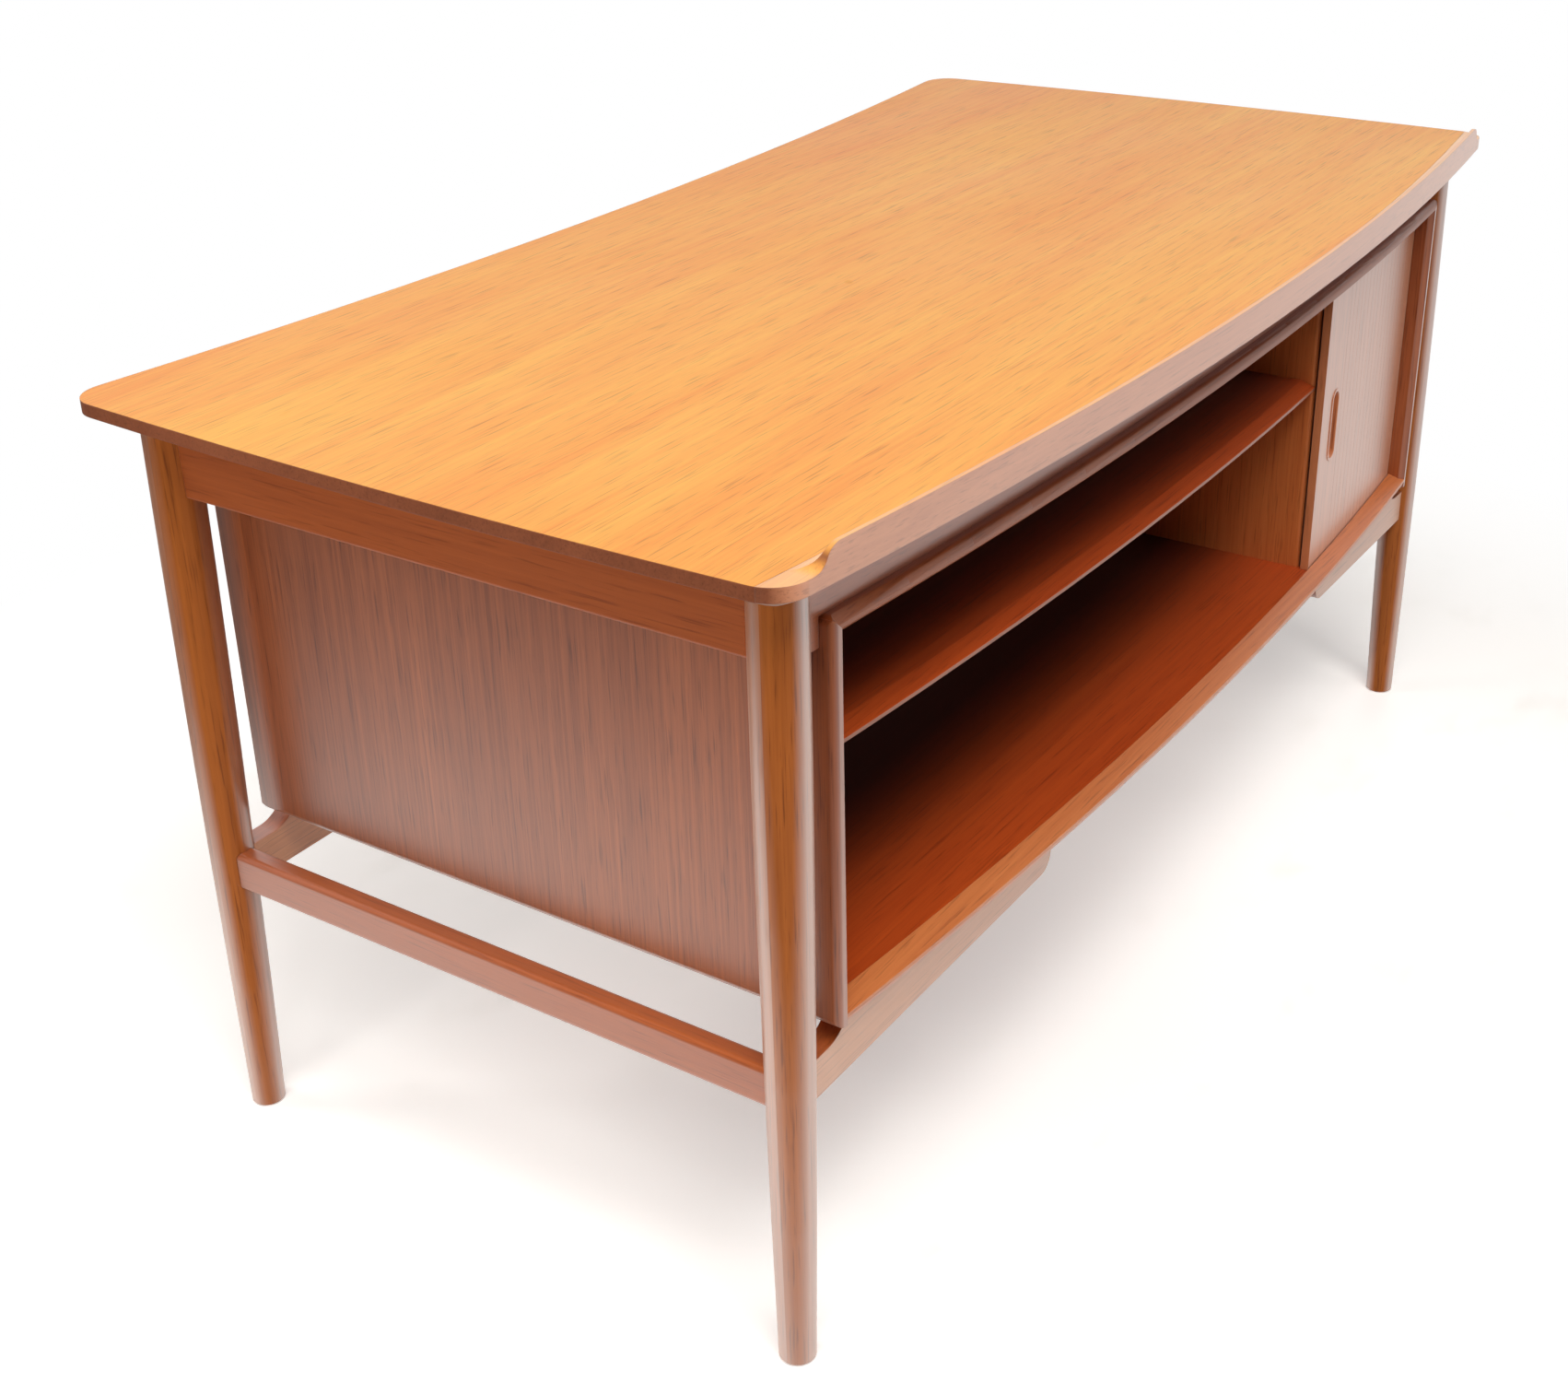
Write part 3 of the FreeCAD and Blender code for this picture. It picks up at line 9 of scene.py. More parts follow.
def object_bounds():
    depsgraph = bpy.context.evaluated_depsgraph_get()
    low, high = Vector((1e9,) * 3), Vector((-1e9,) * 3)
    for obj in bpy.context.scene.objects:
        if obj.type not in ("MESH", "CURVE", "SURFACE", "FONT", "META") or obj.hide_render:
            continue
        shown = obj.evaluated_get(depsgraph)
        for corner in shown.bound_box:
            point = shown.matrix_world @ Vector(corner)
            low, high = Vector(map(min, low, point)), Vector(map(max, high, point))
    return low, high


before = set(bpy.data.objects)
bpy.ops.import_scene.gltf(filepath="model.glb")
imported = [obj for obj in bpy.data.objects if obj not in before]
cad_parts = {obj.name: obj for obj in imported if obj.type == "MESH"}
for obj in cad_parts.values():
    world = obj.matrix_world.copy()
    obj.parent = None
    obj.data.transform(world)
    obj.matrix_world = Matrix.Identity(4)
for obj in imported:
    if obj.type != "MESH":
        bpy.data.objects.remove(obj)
CAD_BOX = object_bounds()

bl_info = {
    "name": "Tambour desk finish",
    "version": (1, 0, 0),
    "blender": (4, 5, 0),
    "location": "3D View > Sidebar > Desk",
    "description": "Finishes the desk's pieces in teak and sets its floor, light and camera",
    "category": "Object",
}

SIDES = ("left", "right")
DRAWER_LEVELS = ("lower", "middle", "upper")

# The axes that run along the grain, across it and through the board, for each way that a board can lie.
GRAIN_ALONG_X = ("X", "Y", "Z")
GRAIN_ALONG_Y = ("Y", "X", "Z")
GRAIN_ALONG_Z = ("Z", "Y", "X")

# Ways that faces can look: up, and out of the bookcase side.
UPWARD = (0.0, 0.0, 1.0)
FORWARD = (0.0, -1.0, 0.0)

# How closely a face has to look that way before it changes, and when the change is complete.
WHOLE_COVE = (0.45, 0.92)
FLAT_ONLY = (0.93, 0.985)

# Painted shade inside the bookcase: where along Y the wood starts to darken towards the back, where it is
# darkest, and how dark.
FLOOR_SHADE_DEPTH = (-0.28, -0.15, (0.12, 0.09, 0.08))
SHELF_SHADE_DEPTH = (-0.31, -0.23, (0.16, 0.12, 0.10))

# Growth rings are cut at a slant, so that they show on both the faces and the edges of a board.
RING_SLANT = (0.0, 0.8, 0.6)

# The finish of the wood: an oiled surface under a harder polish, with a bloom, open pores and wear.
OIL_IOR = 1.28
POLISH_ROUGHNESS = 0.3
BLOOM_ROUGHNESS = 0.42
BLOOM_TINT = (1.0, 0.87, 0.79, 1.0)
PORE_TONE = (0.42, 0.34, 0.30)
SPOT_TONE = (0.62, 0.55, 0.50)
SPOT_DULLING = 0.2
# Edges turn paler: partly wear, partly painted highlight.
RUBBED_HIGHLIGHT_GAIN = 1.25
RUBBED_HIGHLIGHT_LIFT = 0.03
RELIEF_STRENGTH = 0.12
RELIEF_DEPTH = 0.0004
BARE_BOTTOM_ROUGHNESS = 0.55
BARE_SIDE_ROUGHNESS = 0.52

# The canvas behind the slats: threads, their relief, and how dark the gaps between them are.
THREAD_SCALE = 210.0
THREAD_RELIEF = 0.0005
THREAD_GAP_SHADE = 0.55

# The photographed frame, in pixels, and the camera that took it, with its turns in degrees.
PHOTO_WIDTH = 1702
PHOTO_FOCAL = 2268.27
PHOTO_CENTRE = (-2.48, -49.84)
SENSOR_WIDTH = 36.0
CAMERA_PLACE = (-1.7670, -1.0530, 1.3181)
CAMERA_YAW = -55.299
CAMERA_PITCH = -26.650
CAMERA_ROLL = -1.622
CAMERA_SIDE = (-0.83, -0.48, 0.28)

# The stage: the floor's size, how its shadow fades outwards, where the lamps look, and their tones.
FLOOR_RADIUS = 14.0
FLOOR_SEGMENTS = 96
SHADOW_FADE = 1.9
DESK_MIDDLE = (0.0, 0.0, 0.45)
NEUTRAL_LIGHT = (1.0, 0.98, 0.95)
WARM_LIGHT = (1.0, 0.97, 0.93)

# The lamps: name, place, width, height, watts, tone, and whether polished wood shows them.
LAMPS = (
    ("ceiling_lamp", (-1.6, -1.7, 4.2), 2.6, 1.8, 137.0, NEUTRAL_LIGHT, True),
    ("left_lamp", (-3.3, -0.2, 1.5), 1.4, 1.4, 33.0, WARM_LIGHT, False),
    ("right_lamp", (3.4, 0.4, 1.6), 1.4, 1.4, 16.0, WARM_LIGHT, False),
    ("front_lamp", (0.9, -4.0, 0.9), 2.4, 1.2, 22.0, WARM_LIGHT, False),
    ("back_lamp", (-1.6, 3.2, 2.1), 1.8, 1.4, 52.0, WARM_LIGHT, False),
)


def paint(red, green, blue):
    """A colour from 0 to 255 as the eye sees it, as Blender's linear values."""
    def linear(value):
        part = value / 255
        if part <= 0.04045:
            return part / 12.92
        return ((part + 0.055) / 1.055) ** 2.4
    return (linear(red), linear(green), linear(blue))


# Properties

def colour(name, description, default):
    """A colour that a user can change."""
    return bpy.props.FloatVectorProperty(
        name=name, description=description, subtype="COLOR", size=3, min=0.0, max=1.0, default=default)


def share(name, description, default):
    """A strength from nothing to full."""
    return bpy.props.FloatProperty(
        name=name, description=description, subtype="FACTOR", min=0.0, max=1.0, default=default)


def distance(name, description, default):
    """A length in metres."""
    return bpy.props.FloatProperty(
        name=name, description=description, subtype="DISTANCE", unit="LENGTH", min=0.0, default=default)


def span(name, description, default):
    """Two places in metres, along one axis."""
    return bpy.props.FloatVectorProperty(
        name=name, description=description, subtype="TRANSLATION", unit="LENGTH", size=2, default=default)


class TopLook(bpy.types.PropertyGroup):
    """Finish of the desk top and its raised lip."""
    pale: colour("Edge pale wood", "Early wood of the top's solid edge", paint(150, 84, 52))
    deep: colour("Edge deep wood", "Late wood of the top's solid edge", paint(104, 54, 32))
    # The lip's forward faces are painted paler than its other faces: painted sheen.
    lip_pale: colour("Lip pale sheen", "Early wood of the lip's front", paint(230, 158, 116))
    lip_deep: colour("Lip deep sheen", "Late wood of the lip's front", paint(186, 116, 82))
    veneer_pale: colour("Pale veneer", "Early wood of the writing surface", paint(255, 192, 84))
    veneer_deep: colour("Deep veneer", "Late wood of the writing surface", paint(238, 128, 44))
    gloss: share("Roughness", "Roughness of the oiled top", 0.42)
    figure: share("Figure", "Strength of the cathedral figure", 0.26)


class LegLook(bpy.types.PropertyGroup):
    """Finish of the turned legs."""
    pale: colour("Pale wood", "Early wood of the legs", paint(188, 106, 40))
    deep: colour("Deep wood", "Late wood of the legs", paint(140, 70, 20))
    gloss: share("Roughness", "Roughness of the oiled legs", 0.42)


class FrameLook(bpy.types.PropertyGroup):
    """Finish of the aprons, stretchers, brackets and cleats."""
    # The brackets' forward faces are painted paler: painted sheen and light bounced off the floor.
    bracket_pale: colour("Bracket pale sheen", "Early wood of the brackets' fronts", paint(226, 158, 108))
    bracket_deep: colour("Bracket deep sheen", "Late wood of the brackets' fronts", paint(184, 114, 70))
    pale: colour("Pale wood", "Early wood of the rails", paint(190, 98, 42))
    deep: colour("Deep wood", "Late wood of the rails", paint(138, 62, 22))
    gloss: share("Roughness", "Roughness of the oiled rails", 0.42)


class CaseLook(bpy.types.PropertyGroup):
    """Finish of the case's boards."""
    pale: colour("Pale veneer", "Early wood of the outer veneer", paint(190, 106, 58))
    deep: colour("Deep veneer", "Late wood of the outer veneer", paint(106, 46, 20))
    # The boards' flat front edges: the colour of solid lipping, made paler in part as painted sheen.
    edge_pale: colour("Edge pale wood", "Early wood of the boards' thin edges", paint(180, 108, 76))
    edge_deep: colour("Edge deep wood", "Late wood of the boards' thin edges", paint(140, 76, 50))
    inner_pale: colour("Inner pale veneer", "Early wood inside the bookcase", paint(222, 96, 32))
    inner_deep: colour("Inner deep veneer", "Late wood inside the bookcase", paint(166, 56, 15))
    # The bookcase back's front face is painted dark: painted shade inside the bookcase.
    back_pale: colour("Back pale shade", "Early wood of the bookcase back", paint(92, 38, 17))
    back_deep: colour("Back deep shade", "Late wood of the bookcase back", paint(62, 23, 10))
    lipping_pale: colour("Lipping pale", "Early wood of the floor's lipping and divider", paint(236, 146, 80))
    lipping_deep: colour("Lipping deep", "Late wood of the floor's lipping and divider", paint(180, 86, 38))
    gloss: share("Roughness", "Roughness of the veneered boards", 0.42)


class DoorLook(bpy.types.PropertyGroup):
    """Finish of the tambour door."""
    pale: colour("Pale wood", "Early wood of the slats", paint(226, 148, 100))
    deep: colour("Deep wood", "Late wood of the slats", paint(178, 102, 62))
    canvas: colour("Canvas", "Cloth that holds the slats together", paint(120, 96, 70))
    gloss: share("Roughness", "Roughness of the slats", 0.4)


class DrawerLook(bpy.types.PropertyGroup):
    """Finish of the drawers."""
    pale: colour("Front pale wood", "Early wood of the drawer fronts", paint(198, 112, 54))
    deep: colour("Front deep wood", "Late wood of the drawer fronts", paint(150, 74, 32))
    box_pale: colour("Box pale wood", "Early wood of the drawer boxes", paint(206, 164, 112))
    box_deep: colour("Box deep wood", "Late wood of the drawer boxes", paint(172, 124, 76))
    gloss: share("Roughness", "Roughness of the drawer fronts", 0.42)


class FittingLook(bpy.types.PropertyGroup):
    """Finish of the screws and shelf pins."""
    steel: colour("Steel", "Zinc-plated screws and pins", paint(176, 172, 164))
    tarnish: colour("Tarnish", "Dulled patches on the steel", paint(112, 98, 82))


class StageLook(bpy.types.PropertyGroup):
    """The floor and the light."""
    floor: colour("Floor", "Painted studio floor", paint(206, 205, 203))
    floor_dust: colour("Floor scuffs", "Scuffs on the floor", paint(190, 188, 183))
    ambient: share("Ambient", "Light from the white room", 0.11)
    dark_side: share("Dark side", "How bright the room is behind the camera", 0.08)
    bleach: share("Floor bleach", "How much the bright floor washes out the shadow", 0.3)
    exposure: bpy.props.FloatProperty(
        name="Floor exposure", description="How much brighter the camera sees the floor",
        min=0.5, max=4.0, default=2.4)
    unlit_left: span(
        "Unlit left", "Where the floor is dark to the left and where bright, as the wood mirrors it",
        (-1.65, -1.25))
    unlit_back: span(
        "Unlit back", "Where the floor is dark at the back and where bright, as the wood mirrors it",
        (1.2, 0.6))
    clear_reach: distance("Shadow reach", "How far from the desk the floor still shows its shadow", 0.8)


def finish_of(kind, name, description):
    """The finishes of one group of pieces."""
    return bpy.props.PointerProperty(type=kind, name=name, description=description)


class DeskLook(bpy.types.PropertyGroup):
    """All the finishes of the desk."""
    top: finish_of(TopLook, "Top", "Desk top and lip")
    legs: finish_of(LegLook, "Legs", "Turned legs")
    rails: finish_of(FrameLook, "Frame", "Aprons, stretchers and brackets")
    case: finish_of(CaseLook, "Case", "Case and bookcase boards")
    door: finish_of(DoorLook, "Door", "Tambour door")
    drawers: finish_of(DrawerLook, "Drawers", "Drawers and runners")
    fittings: finish_of(FittingLook, "Fittings", "Screws and shelf pins")
    stage: finish_of(StageLook, "Stage", "Floor and light")


# Shader building

def add(tree, kind, **values):
    """A new node. Each value sets an input of that name, or a setting of the node."""
    made = tree.nodes.new(kind)
    for name, value in values.items():
        label = name.replace("_", " ").title()
        if label in made.inputs:
            made.inputs[label].default_value = value
        else:
            setattr(made, name, value)
    return made


def join(tree, source, target):
    """Links an output socket to an input socket."""
    tree.links.new(source, target)


def sum_of(tree, operation, first, second):
    """Maths on two sockets or numbers. Returns the result's socket."""
    made = add(tree, "ShaderNodeMath", operation=operation)
    for place, value in enumerate((first, second)):
        if isinstance(value, (int, float)):
            made.inputs[place].default_value = value
        else:
            join(tree, value, made.inputs[place])
    return made.outputs["Value"]


def blend(tree, amount, first, second, way="MIX"):
    """Mixes two colours. Each is a socket or a colour. Returns the result's socket."""
    made = add(tree, "ShaderNodeMix", data_type="RGBA", blend_type=way)
    factor, first_in, second_in = made.inputs[0], made.inputs[6], made.inputs[7]
    for value, target in ((amount, factor), (first, first_in), (second, second_in)):
        if isinstance(value, bpy.types.NodeSocket):
            join(tree, value, target)
        elif isinstance(value, (int, float)):
            target.default_value = value
        else:
            target.default_value = (*value, 1.0)
    return made.outputs[2]


def spread(tree, value, low, high, to_low=0.0, to_high=1.0):
    """Stretches a value's range, held at both ends. Returns the result's socket."""
    made = add(tree, "ShaderNodeMapRange", clamp=True)
    join(tree, value, made.inputs["Value"])
    for name, number in (("From Min", low), ("From Max", high), ("To Min", to_low), ("To Max", to_high)):
        made.inputs[name].default_value = number
    return made.outputs["Result"]


def ramp(tree, value, start, full):
    """A value's rise from nothing to one between two sockets' values. Returns the result's socket."""
    made = add(tree, "ShaderNodeMapRange", clamp=True)
    for name, source in (("Value", value), ("From Min", start), ("From Max", full)):
        join(tree, source, made.inputs[name])
    return made.outputs["Result"]


def stretched_noise(tree, place, along, across, detail, roughness=0.55):
    """Noise drawn out along the grain, in features per metre along and across. Returns its value's socket."""
    mapping = add(tree, "ShaderNodeMapping", vector_type="POINT")
    mapping.inputs["Scale"].default_value = (along, across, across)
    join(tree, place, mapping.inputs["Vector"])
    noise = add(tree, "ShaderNodeTexNoise", scale=1.0, detail=detail, roughness=roughness)
    join(tree, mapping.outputs["Vector"], noise.inputs["Vector"])
    return noise.outputs["Fac"]


def new_group(name, inputs, outputs):
    """An empty shader node group. Inputs are (name, kind, default), outputs (name, kind)."""
    group = bpy.data.node_groups.new(name, "ShaderNodeTree")
    for label, kind, default in inputs:
        socket = group.interface.new_socket(name=label, in_out="INPUT", socket_type=kind)
        if default is not None:
            socket.default_value = default
    for label, kind in outputs:
        group.interface.new_socket(name=label, in_out="OUTPUT", socket_type=kind)
    return group, group.nodes.new("NodeGroupInput"), group.nodes.new("NodeGroupOutput")


def grain_group():
    """Teak grain: growth rings warped into cathedral arches, broad bands, fine fibres and open pores."""
    if "Teak grain" in bpy.data.node_groups:
        return bpy.data.node_groups["Teak grain"]
    group, given, made = new_group(
        "Teak grain",
        (("Place", "NodeSocketVector", None),
         ("Pale", "NodeSocketColor", (0.8, 0.4, 0.1, 1.0)),
         ("Deep", "NodeSocketColor", (0.4, 0.15, 0.04, 1.0)),
         ("Figure", "NodeSocketFloat", 0.3),
         ("Bands", "NodeSocketFloat", 0.8),
         ("Fibres", "NodeSocketFloat", 0.4),
         ("Pores", "NodeSocketFloat", 0.5)),
        (("Colour", "NodeSocketColor"), ("Relief", "NodeSocketFloat")))
    place = given.outputs["Place"]

    across = add(group, "ShaderNodeVectorMath", operation="DOT_PRODUCT")
    across.inputs[1].default_value = RING_SLANT
    join(group, place, across.inputs[0])
    along = add(group, "ShaderNodeSeparateXYZ")
    join(group, place, along.inputs["Vector"])
    warp = stretched_noise(group, place, along=0.75, across=2.6, detail=2.0, roughness=0.42)
    drift = sum_of(group, "MULTIPLY", sum_of(group, "SUBTRACT", warp, 0.5), 0.2)
    ring_place = add(group, "ShaderNodeCombineXYZ")
    join(group, along.outputs["X"], ring_place.inputs["X"])
    join(group, sum_of(group, "ADD", across.outputs["Value"], drift), ring_place.inputs["Y"])
    ring_noise = stretched_noise(
        group, ring_place.outputs["Vector"], along=0.45, across=46.0, detail=5.0, roughness=0.72)
    rings = spread(group, ring_noise, 0.32, 0.68)

    broad = stretched_noise(group, place, along=1.1, across=4.6, detail=4.0, roughness=0.6)
    fibres = stretched_noise(group, place, along=2.6, across=240.0, detail=4.0, roughness=0.65)
    pores = spread(group, stretched_noise(group, place, along=18.0, across=500.0, detail=2.0), 0.56, 0.70)

    def swing(name, noise):
        """What a noise adds to or takes from the middle tone, at the strength given."""
        return sum_of(group, "MULTIPLY", given.outputs[name], sum_of(group, "SUBTRACT", noise, 0.5))

    ring_part = swing("Figure", rings)
    band_part = swing("Bands", broad)
    fibre_part = swing("Fibres", fibres)
    figured = sum_of(group, "ADD", ring_part, band_part)
    tone = sum_of(group, "ADD", figured, sum_of(group, "ADD", fibre_part, 0.5))
    tone = spread(group, tone, 0.0, 1.0)
    wood = blend(group, tone, given.outputs["Deep"], given.outputs["Pale"])
    pore_amount = sum_of(group, "MULTIPLY", pores, given.outputs["Pores"])
    join(group, blend(group, pore_amount, wood, PORE_TONE, "MULTIPLY"), made.inputs["Colour"])
    join(group, sum_of(group, "SUBTRACT", fibres, pore_amount), made.inputs["Relief"])
    return group


def edge_group():
    """Rounded edges: a normal that rolls over them, and a mask of where they are. The mask lightens them,
    partly as wear and partly as painted highlight.
    """
    if "Rubbed and highlit edges" in bpy.data.node_groups:
        return bpy.data.node_groups["Rubbed and highlit edges"]
    group, given, made = new_group(
        "Rubbed and highlit edges",
        (("Reach", "NodeSocketFloat", 0.0015),),
        (("Edge", "NodeSocketFloat"), ("Rolled", "NodeSocketVector")))
    rolled = add(group, "ShaderNodeBevel", samples=4)
    join(group, given.outputs["Reach"], rolled.inputs["Radius"])
    flat = add(group, "ShaderNodeNewGeometry")
    likeness = add(group, "ShaderNodeVectorMath", operation="DOT_PRODUCT")
    join(group, rolled.outputs["Normal"], likeness.inputs[0])
    join(group, flat.outputs["Normal"], likeness.inputs[1])
    join(group, spread(group, likeness.outputs["Value"], 0.985, 0.86), made.inputs["Edge"])
    join(group, rolled.outputs["Normal"], made.inputs["Rolled"])
    return group


def facing_group():
    """Where a surface looks a given way: one on faces that do, nothing on those that look elsewhere."""
    if "Facing" in bpy.data.node_groups:
        return bpy.data.node_groups["Facing"]
    group, given, made = new_group(
        "Facing",
        (("Way", "NodeSocketVector", UPWARD),
         ("Start", "NodeSocketFloat", WHOLE_COVE[0]),
         ("Full", "NodeSocketFloat", WHOLE_COVE[1])),
        (("Mask", "NodeSocketFloat"),))
    flat = add(group, "ShaderNodeNewGeometry")
    likeness = add(group, "ShaderNodeVectorMath", operation="DOT_PRODUCT")
    join(group, flat.outputs["Normal"], likeness.inputs[0])
    join(group, given.outputs["Way"], likeness.inputs[1])
    mask = ramp(group, likeness.outputs["Value"], given.outputs["Start"], given.outputs["Full"])
    join(group, mask, made.inputs["Mask"])
    return group


def unbleached_group():
    """Painted shade: the wood's colour made darker from one place along Y to another."""
    if "Painted depth shade" in bpy.data.node_groups:
        return bpy.data.node_groups["Painted depth shade"]
    group, given, made = new_group(
        "Painted depth shade",
        (("Wood", "NodeSocketColor", (0.8, 0.4, 0.1, 1.0)),
         ("Shade", "NodeSocketColor", (*FLOOR_SHADE_DEPTH[2], 1.0)),
         ("Start", "NodeSocketFloat", FLOOR_SHADE_DEPTH[0]),
         ("Full", "NodeSocketFloat", FLOOR_SHADE_DEPTH[1])),
        (("Colour", "NodeSocketColor"),))
    place = add(group, "ShaderNodeTexCoord")
    apart = add(group, "ShaderNodeSeparateXYZ")
    join(group, place.outputs["Object"], apart.inputs["Vector"])
    inside = ramp(group, apart.outputs["Y"], given.outputs["Start"], given.outputs["Full"])
    darker = blend(group, inside, given.outputs["Wood"], given.outputs["Shade"], "MULTIPLY")
    join(group, darker, made.inputs["Colour"])
    return group


def polish_group():
    """Hand-rubbed oil: cloudy changes of gloss, and small dull spots where the surface was used."""
    if "Oil polish" in bpy.data.node_groups:
        return bpy.data.node_groups["Oil polish"]
    group, given, made = new_group(
        "Oil polish",
        (("Place", "NodeSocketVector", None),
         ("Middle", "NodeSocketFloat", 0.38),
         ("Cloud", "NodeSocketFloat", 0.16)),
        (("Roughness", "NodeSocketFloat"), ("Spots", "NodeSocketFloat")))
    place = given.outputs["Place"]
    cloud = stretched_noise(group, place, along=2.4, across=5.0, detail=3.0)
    change = sum_of(group, "MULTIPLY", sum_of(group, "SUBTRACT", cloud, 0.5), given.outputs["Cloud"])
    join(group, sum_of(group, "ADD", given.outputs["Middle"], change), made.inputs["Roughness"])
    specks = spread(group, stretched_noise(group, place, along=21.0, across=24.0, detail=2.0), 0.735, 0.80)
    patches = spread(group, stretched_noise(group, place, along=2.6, across=2.9, detail=1.0), 0.46, 0.62)
    join(group, sum_of(group, "MULTIPLY", specks, patches), made.inputs["Spots"])
    return group


def placed(tree, group, **values):
    """A node that stands for a group in a material. Each value sets an input of that name."""
    made = tree.nodes.new("ShaderNodeGroup")
    made.node_tree = group
    for label, value in values.items():
        made.inputs[label.title()].default_value = value
    return made


def new_material(name):
    """A material with one Principled shader. Returns the material, its tree and the shader."""
    made = bpy.data.materials.new(name)
    made.use_nodes = True
    return made, made.node_tree, made.node_tree.nodes["Principled BSDF"]


def grain_place(tree, axes, shift):
    """The surface's place in metres, with the grain turned along the first axis. Returns its socket."""
    place = add(tree, "ShaderNodeTexCoord")
    apart = add(tree, "ShaderNodeSeparateXYZ")
    join(tree, place.outputs["Object"], apart.inputs["Vector"])
    turned = add(tree, "ShaderNodeCombineXYZ")
    for target, source in zip("XYZ", axes):
        join(tree, apart.outputs[source], turned.inputs[target])
    moved = add(tree, "ShaderNodeVectorMath", operation="ADD")
    moved.inputs[1].default_value = shift
    join(tree, turned.outputs["Vector"], moved.inputs[0])
    return moved.outputs["Vector"]


def wood_material(name, axes, pale, deep, gloss, shift=(0.0, 0.0, 0.0), figure=0.2, bands=0.7, fibres=0.7,
                  pores=0.5, edge_reach=0.0012, edge_pale=0.35, spots=0.3, coat=0.9, coat_ior=2.3,
                  glance=(0.05, 0.5), sheen=0.25, trims=(), depth=None):
    """Oiled teak for boards whose grain lies along the first of the axes.

    The polish shows from the first slant of a glance and is full at the second. A trim is the way that some
    faces look and how closely, with the pale and the deep colour of the wood there. A depth is painted shade:
    where along Y the wood starts to darken, where it is darkest, and how dark."""
    material, tree, shader = new_material(name)
    where = grain_place(tree, axes, shift)
    grain = placed(tree, grain_group(), pale=(*pale, 1.0), deep=(*deep, 1.0), figure=figure, bands=bands,
                   fibres=fibres, pores=pores)
    join(tree, where, grain.inputs["Place"])
    pale_tone = pale
    deep_tone = deep
    for way, (start, full), trim_pale, trim_deep in trims:
        facing = placed(tree, facing_group(), way=way, start=start, full=full)
        pale_tone = blend(tree, facing.outputs["Mask"], pale_tone, trim_pale)
        deep_tone = blend(tree, facing.outputs["Mask"], deep_tone, trim_deep)
    if trims:
        join(tree, pale_tone, grain.inputs["Pale"])
        join(tree, deep_tone, grain.inputs["Deep"])
    edges = placed(tree, edge_group(), reach=edge_reach)
    polish = placed(tree, polish_group(), middle=gloss)
    join(tree, where, polish.inputs["Place"])

    # Edges turn paler: partly wear, partly painted highlight.
    rubbed = sum_of(tree, "MULTIPLY", edges.outputs["Edge"], edge_pale)
    worn_highlight_tone = tuple(min(1.0, part * RUBBED_HIGHLIGHT_GAIN + RUBBED_HIGHLIGHT_LIFT) for part in pale)
    coloured = blend(tree, rubbed, grain.outputs["Colour"], worn_highlight_tone)
    # Painted shade: the wood darkens along Y towards the back of the bookcase.
    if depth:
        start, full, shade = depth
        inside = placed(tree, unbleached_group(), shade=(*shade, 1.0), start=start, full=full)
        join(tree, coloured, inside.inputs["Wood"])
        coloured = inside.outputs["Colour"]
    spotted = sum_of(tree, "MULTIPLY", polish.outputs["Spots"], spots)
    coloured = blend(tree, spotted, coloured, SPOT_TONE, "MULTIPLY")
    join(tree, coloured, shader.inputs["Base Color"])
    dulled = sum_of(tree, "MULTIPLY", polish.outputs["Spots"], SPOT_DULLING)
    join(tree, sum_of(tree, "ADD", polish.outputs["Roughness"], dulled), shader.inputs["Roughness"])
    slant = add(tree, "ShaderNodeLayerWeight", blend=0.5)
    join(tree, spread(tree, slant.outputs["Facing"], *glance, 0.0, coat), shader.inputs["Coat Weight"])
    for label, value in (("IOR", OIL_IOR), ("Coat Roughness", POLISH_ROUGHNESS), ("Coat IOR", coat_ior),
                         ("Sheen Weight", sheen), ("Sheen Roughness", BLOOM_ROUGHNESS),
                         ("Sheen Tint", BLOOM_TINT)):
        shader.inputs[label].default_value = value
    relief = add(tree, "ShaderNodeBump", strength=RELIEF_STRENGTH, distance=RELIEF_DEPTH)
    join(tree, grain.outputs["Relief"], relief.inputs["Height"])
    join(tree, edges.outputs["Rolled"], relief.inputs["Normal"])
    join(tree, relief.outputs["Normal"], shader.inputs["Normal"])
    return material


def canvas_material(name, tone):
    """Plain-woven cotton canvas."""
    material, tree, shader = new_material(name)
    place = add(tree, "ShaderNodeTexCoord")
    threads = []
    for direction in ("X", "Z"):
        weave = add(tree, "ShaderNodeTexWave", wave_type="BANDS", bands_direction=direction,
                    wave_profile="SIN", scale=THREAD_SCALE, distortion=1.2, detail=1.0)
        join(tree, place.outputs["Object"], weave.inputs["Vector"])
        threads.append(weave.outputs["Fac"])
    woven = sum_of(tree, "MULTIPLY", *threads)
    shaded = tuple(part * THREAD_GAP_SHADE for part in tone)
    join(tree, blend(tree, woven, shaded, tone), shader.inputs["Base Color"])
    shader.inputs["Roughness"].default_value = 0.9
    relief = add(tree, "ShaderNodeBump", strength=0.4, distance=THREAD_RELIEF)
    join(tree, woven, relief.inputs["Height"])
    join(tree, relief.outputs["Normal"], shader.inputs["Normal"])
    return material


